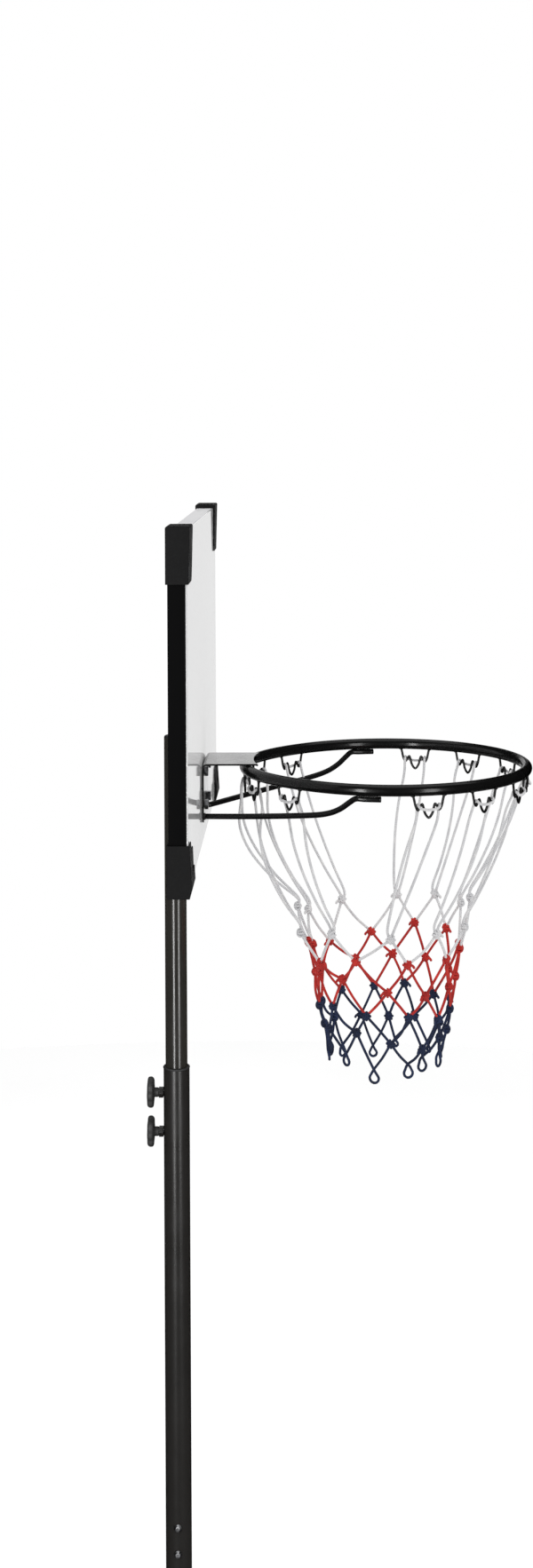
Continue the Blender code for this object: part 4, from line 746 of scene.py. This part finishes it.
def rim_place(angle, radius=RING_R, drop=0.0):
    """A point on the ring or a hook: the ring's back bows out under the bracket's plate."""
    off = abs(angle % 360 - 180) / RING_BACK_SPAN
    reach = RING_BACK_REACH * math.cos(math.radians(90 * off)) ** 2 if off < 1 else 0.0
    return ring_place(angle, radius, drop) - Vector((reach, 0, 0))


def along_at(angle):
    """Level direction along the ring at an angle."""
    a = math.radians(angle)
    return Vector((-math.sin(a), math.cos(a), 0))


def out_at(angle):
    """Level direction away from the ring's axis at an angle."""
    a = math.radians(angle)
    return Vector((math.cos(a), math.sin(a), 0))


def bead(shape, path, size):
    """A weld bead: overlapping scales along a path."""
    way = (Vector(path[-1]) - Vector(path[0])).normalized()
    side = way.orthogonal().normalized()
    long, wide, high = SCALE_AXES
    axes = (way * size * long, side * size * wide, way.cross(side) * size * high)
    for point in path:
        shape.lump(point, axes, steps=8)


def make_ring():
    """Tube ring with its smooth wire hooks."""
    shape = Shape()
    rim = [rim_place(360 * step / RING_STEPS) for step in range(RING_STEPS)]
    shape.tube(rim, RING_TUBE_R, RING_SIDES, closed=True)
    profile = [(-s, drop) for s, drop in HOOK_HALF] + [(0.0, HOOK_BOTTOM)]
    profile += list(reversed(HOOK_HALF))
    for angle in HOOK_ANGLES:
        points = [rim_place(angle) + along_at(angle) * s - Vector((0, 0, drop)) for s, drop in profile]
        shape.tube(smooth_path(points, HOOK_PER_SPAN), HOOK_WIRE_R, HOOK_SIDES)
        along, across, upright = HOOK_FOOT_AXES
        axes = (along_at(angle) * along, out_at(angle) * across, Vector((0, 0, upright)))
        foot = rim_place(angle, RING_R, RING_TUBE_R * HOOK_FOOT_DEPTH)
        for sign in (1, -1):
            shape.lump(foot + along_at(angle) * HOOK_FOOT_APART * sign, axes, steps=9)
    shape.piece("ring_fine", "black_gloss", "mast", ["ring"], LOOKS["ring_shaded_black"])


def make_rods():
    """Support rods with smooth bends and welded ends."""
    drop = RING_TUBE_R + ROD_R + ROD_UNDER_RING
    for side, name in ((1, "left"), (-1, "right")):
        shape = Shape()
        start = Vector((ROD_START[0], side * ROD_START[1], ROD_START[2]))
        first, last = ROD_WELD
        welds = [ring_place(side * (first + (last - first) * i / (ROD_WELD_POINTS - 1)), RING_R, drop)
                 for i in range(ROD_WELD_POINTS)]
        course = []
        for share, rise in ROD_COURSE:
            point = start.lerp(welds[0], share)
            point.z = start.z + (welds[0].z - start.z) * rise
            course.append(point)
        path = even_path([start, start + Vector((ROD_LEAD, 0, 0))] + course + welds, ROD_STEP)
        blunt = path[-1] + (path[-1] - path[-2]).normalized() * ROD_R * ROD_BLUNT_LENGTH
        shape.tube(path + [blunt], [ROD_R] * len(path) + [ROD_R * ROD_BLUNT_R], ROD_SIDES)
        shape.piece("support_rod_fine_" + name, "black_gloss", "mast", ["support_rod_" + name],
                    LOOKS["rod_black"])


def make_welds():
    """Weld beads of the ring, its bracket and the rods."""
    shape = Shape()
    for side in (1, -1):
        plate = [ring_place(180 + side * (PLATE_SEAM_FROM + SCALE_TURN * i), RING_R - PLATE_SEAM_INSET,
                            -RING_TUBE_R - PLATE_SEAM_LIFT) for i in range(PLATE_SEAM_SCALES)]
        bead(shape, plate, SCALE_R)
        rod = [ring_place(side * (ROD_SEAM_FROM + SCALE_TURN * i), RING_R + ROD_SEAM_OUT,
                          RING_TUBE_R + ROD_SEAM_DROP) for i in range(ROD_SEAM_SCALES)]
        bead(shape, rod, SCALE_R)
        x, y, z = ROD_START
        foot = [Vector((x + FOOT_SEAM_PROUD, side * y + FOOT_SEAM_R * math.cos(t),
                        z + FOOT_SEAM_R * math.sin(t))) for t in turns(FOOT_SEAM_SCALES)]
        bead(shape, foot, FOOT_SCALE_R)
    shape.piece("weld_beads", "black_gloss", "mast")


def net_places():
    """Knots by row and column."""
    places = {}
    for row, (radius, spots) in enumerate(NET_ROWS):
        for column, (angle, drop, *own) in enumerate(spots):
            place = ring_place(angle, own[0] if own else radius, drop)
            places[row, column] = place - Vector((NET_LEAN, 0, 0))
    return places


def outward(point):
    """Level direction from the net's axis to a point."""
    return Vector((point.x - RING_X + NET_LEAN, point.y, 0.0)).normalized()


def hook_local(angle, sideways, out, drop):
    """A point near a hook, from its own sideways and outward directions."""
    return rim_place(angle, RING_R, drop) + along_at(angle) * sideways + out_at(angle) * out


def tie_knot(shape, centre, chance):
    """A tight knot of crossed wraps, with a short tail now and then."""
    out = outward(centre)
    along = Vector((-out.y, out.x, 0))
    up = Vector((0, 0, 1))
    lean = chance.uniform(-KNOT_LEAN, KNOT_LEAN)
    level, upright, rising, falling = WRAP_SPREADS
    spreads = (along * level + up * lean * WRAP_LEAN, up * upright + along * lean * WRAP_LEAN,
               (along + up) * rising, (along - up) * falling)
    for spread, depth in zip(spreads, WRAP_DEPTHS):
        shift = Vector([chance.uniform(-WRAP_SCATTER, WRAP_SCATTER) for _ in range(3)])
        loop = [centre + shift + spread * math.cos(t) + out * depth * math.sin(t)
                for t in turns(WRAP_STEPS)]
        shape.tube(loop, CORD_R * WRAP_THIN, WRAP_SIDES, closed=True)
    shape.lump(centre, (along * KNOT_CORE[0], up * KNOT_CORE[1], out * KNOT_CORE[2]))
    if chance.random() < TAIL_CHANCE:
        side = chance.choice((1, -1))
        tail = [centre + along * side * aside - up * below + out * before
                for aside, below, before in TAIL_COURSE]
        path = smooth_path(tail, TAIL_PER_SPAN)
        shape.tube(path, [CORD_R] * (len(path) - 1) + [CORD_R * TAIL_END_THIN], WRAP_SIDES)


def slack(start, end, sag, twist):
    """A cord between two knots, which hangs a little and bows sideways."""
    middle = start.lerp(end, 0.5)
    along = Vector((-outward(middle).y, outward(middle).x, 0))
    bow = middle - Vector((0, 0, sag)) + along * twist + outward(middle) * sag
    return even_path([start, bow, end], CORD_STEP)


def white_loop(column, knot):
    """A long loop over one hook: up from its knot, over both valleys and back down."""
    angle = HOOK_ANGLES[column]
    rest = HOOK_WIRE_R + CORD_R + LOOP_CLEARANCE
    valley_s, valley = HOOK_VALLEY
    inward = LOOP_INWARD[column]
    face = -1 if column == LOOP_FROM_OUTSIDE else 1
    out = outward(knot)
    along = Vector((-out.y, out.x, 0))
    half = []
    for sign, bulge, drift in zip((-1, 1), LOOP_BULGES[column], LOOP_DRIFTS[column]):
        s = valley_s * sign
        lead = knot + along * sign * LOOP_LEAD_OUT + Vector((0, 0, LOOP_LEAD_UP))
        clear = hook_local(angle, s, -inward * face, LOOP_CLEAR_DROP)
        low = [clear.lerp(lead, share) + out * bulge * bow + along_at(angle) * drift * bow
               for share, bow in LOOP_BOW]
        over = [hook_local(angle, s * share, rest * across * face, valley - rest * rise)
                for share, across, rise in LOOP_OVER_WIRE]
        half.append([knot, lead] + low[::-1] + [clear] + over)
    across, rise = LOOP_MIDDLE
    middle = hook_local(angle, 0.0, rest * across * face, valley - rest * rise)
    return half[0] + [middle] + list(reversed(half[1]))


def eye_path(column, left, right):
    """The two lowest cords, which cross and form a small open eye."""
    angle, drop, radius = EYES[column]
    middle = ring_place(angle, EYE_RING_RADIUS, drop) - Vector((NET_LEAN, 0, 0))
    along, apart = along_at(angle), out_at(angle) * CORD_R * EYE_APART
    loop = [middle + along * radius * math.sin(t) + Vector((0, 0, radius * math.cos(t)))
            + apart * (1 - t / math.pi)
            for t in [math.radians(d) for d in EYE_TURNS]]
    cross = middle + Vector((0, 0, radius * EYE_NECK))
    sag = Vector((0, 0, EYE_CORD_SAG))
    return [left, left.lerp(cross, 0.5) - sag, cross + apart] + loop + [
        cross - apart, right.lerp(cross, 0.5) - sag, right]


def make_net():
    """White loops, red diamonds and blue diamonds with open eyes, tied with real knots."""
    knots = net_places()
    chance = random.Random(NET_SEED)
    colours = [Shape(), Shape(), Shape()]
    white, red, blue = colours
    for row, owner in enumerate((white, red, red, blue, blue)):
        for column in range(COLUMNS):
            tie_knot(owner, knots[row, column], chance)
    for column in range(COLUMNS):
        hung = knots[0, (column - 1) % COLUMNS]
        white.tube(even_path(white_loop(column, hung), LOOP_STEP), CORD_R, CORD_SIDES)
        for step in (0, 1):
            onward = (column + step) % COLUMNS
            back = (column - 1 + step) % COLUMNS
            for owner, start, end in ((white, knots[0, column], knots[1, onward]),
                                      (red, knots[1, column], knots[2, back]),
                                      (red, knots[2, column], knots[3, onward]),
                                      (blue, knots[3, column], knots[4, back])):
                sag = chance.uniform(0.0, SLACK_SAG)
                twist = chance.uniform(-SLACK_TWIST, SLACK_TWIST)
                owner.tube(slack(start, end, sag, twist), CORD_R, CORD_SIDES)
        path = eye_path(column, knots[4, column], knots[4, (column + 1) % COLUMNS])
        blue.tube(even_path(path, EYE_STEP), CORD_R, CORD_SIDES)
    for name, shape in zip(("white", "red", "blue"), colours):
        shape.piece("net_fine_" + name, name + "_cord", "mast", ["net_" + name + "_cord"])


def lathe(bm, profile, steps, place, flute=None):
    """Turn a profile of (radius, height) about Z; flute gives a radius change by angle."""
    rings = []
    for radius, height in profile:
        ring = []
        for a in turns(steps):
            r = radius - (flute(a, radius) if flute else 0.0)
            ring.append(bm.verts.new(place @ Vector((r * math.cos(a), r * math.sin(a), height))))
        rings.append(ring)
    for first, second in zip(rings, rings[1:]):
        join(bm, first, second)
    bm.faces.new(list(reversed(rings[0])))
    bm.faces.new(rings[-1])


def flange_outline(height):
    """Outline of a flange as (y, depth below the cap's end), with a round inner corner."""
    outline = [(FLANGE_OUTER_Y, FLANGE_LIP), (FLANGE_OUTER_Y, height)]
    corner_y, corner_depth = FLANGE_INNER_Y + FLANGE_CORNER_R, height - FLANGE_CORNER_R
    for step in range(FLANGE_CORNER_STEPS + 1):
        turn = math.radians(90 * step / FLANGE_CORNER_STEPS)
        outline.append((corner_y - FLANGE_CORNER_R * math.sin(turn),
                        corner_depth + FLANGE_CORNER_R * math.cos(turn)))
    return outline + [(FLANGE_INNER_Y, FLANGE_LIP)]


def add_flange(bm, level, side):
    """One flange: a thin plate whose front swells towards the cap's end."""
    end_z, height, swell, chamfer = FLANGES[level]
    up = 1 if level == "top" else -1
    outline = flange_outline(height)
    swells = [swell * (height - depth) / (height - chamfer) for _, depth in outline]
    back = [bm.verts.new((FLANGE_BACK_X, side * y, end_z - up * depth)) for y, depth in outline]
    front = [bm.verts.new((FLANGE_FRONT_X + proud, side * y, end_z - up * depth))
             for (y, depth), proud in zip(outline, swells)]
    bm.faces.new(back)
    bm.faces.new(list(reversed(front)))
    for k in range(len(outline)):
        after = (k + 1) % len(outline)
        bm.faces.new((back[k], front[k], front[after], back[after]))


def make_flanges():
    """Front flanges of the corner caps, which hide the sheet's corners."""
    shape = Shape()
    for level in FLANGES:
        for side in (1, -1):
            add_flange(shape.bm, level, side)
    edges = [e for e in shape.bm.edges
             if len(e.link_faces) == 2 and e.calc_face_angle(0.0) > FLANGE_BEVEL_FROM]
    bmesh.ops.recalc_face_normals(shape.bm, faces=shape.bm.faces)
    bmesh.ops.bevel(shape.bm, geom=edges, offset=SMALL_BEVEL, segments=BEVEL_STEPS, affect="EDGES")
    shape.piece("corner_flanges", "cap_plastic", "mast")


def fluted(count, depth, start, blend):
    """A radius change for lathe: a number of flutes of one depth, which fade in from a radius."""
    def flute(angle, radius):
        share = min(max((radius - start) / blend, 0.0), 1.0)
        return depth * share * (0.5 - 0.5 * math.cos(count * angle)) ** FLUTE_SHARPNESS
    return flute


def make_knobs():
    """Clamp knobs: a fluted disc with round edges, a dished face and a neck."""
    flute = fluted(KNOB_FLUTES, KNOB_FLUTE_DEPTH, KNOB_FLUTE_FROM, KNOB_FLUTE_BLEND)
    for level, z in KNOB_ZS.items():
        shape = Shape()
        place = Matrix.Translation((KNOB_BACK_X, 0, z)) @ Matrix.Rotation(math.radians(-90), 4, "Y")
        lathe(shape.bm, KNOB_SECTION, KNOB_STEPS, place, flute)
        shape.piece("clamp_knob_fine_" + level, "knob_plastic", "clamp_" + level + "_grip",
                    ["clamp_knob_" + level])


def make_filler_cap():
    """Hollow screw cap of the filler neck: fluted skirt, round rim and a sunk lid."""
    flute = fluted(FILLER_CAP_GRIPS, FILLER_CAP_GRIP_DEPTH, FILLER_CAP_GRIP_FROM, FILLER_CAP_GRIP_BLEND)
    shape = Shape()
    place = Matrix.Translation(FILLER_CAP_FOOT)
    lathe(shape.bm, FILLER_CAP_SECTION, FILLER_CAP_STEPS, place, flute)
    shape.piece("filler_cap_fine", "black_plastic", "filler_lid", ["filler_cap"])


def add_rib(bm, place):
    """One rib of a wheel's web, with soft edges."""
    rib = bmesh.ops.create_cube(bm, size=1.0, matrix=place @ Matrix.Diagonal((*RIB_SIZE, 1.0)))
    edges = list(dict.fromkeys(e for v in rib["verts"] for e in v.link_edges))
    bmesh.ops.bevel(bm, geom=edges, offset=SMALL_BEVEL, segments=BEVEL_STEPS, affect="EDGES")


def make_wheels():
    """Wheels with a ribbed web, a hub and a tread with fine grooves."""
    half = [(r, WHEEL_HALF_WIDTH - depth) for r, depth in WHEEL_SECTION] + list(WHEEL_GROOVES)
    section = half + [(r, -h) for r, h in reversed(half)]
    x, y, z = WHEEL_CENTRE
    for sign, name in ((1, "left"), (-1, "right")):
        shape = Shape()
        place = Matrix.Translation((x, sign * y, z)) @ Matrix.Rotation(math.radians(-90 * sign), 4, "X")
        lathe(shape.bm, section, WHEEL_STEPS, place)
        for angle in turns(RIB_COUNT):
            turned = place @ Matrix.Rotation(angle, 4, "Z")
            for face in (1, -1):
                middle = (RIB_MIDDLE_R, 0, face * (WHEEL_HALF_WIDTH - RIB_SUNK))
                add_rib(shape.bm, turned @ Matrix.Translation(middle))
        shape.piece("wheel_fine_" + name, "wheel_plastic", name + "_wheel", ["wheel_" + name])


camera()
lights()
floor()
dress_nodes()
make_ring()
make_rods()
make_welds()
make_net()
make_flanges()
make_knobs()
make_filler_cap()
make_wheels()
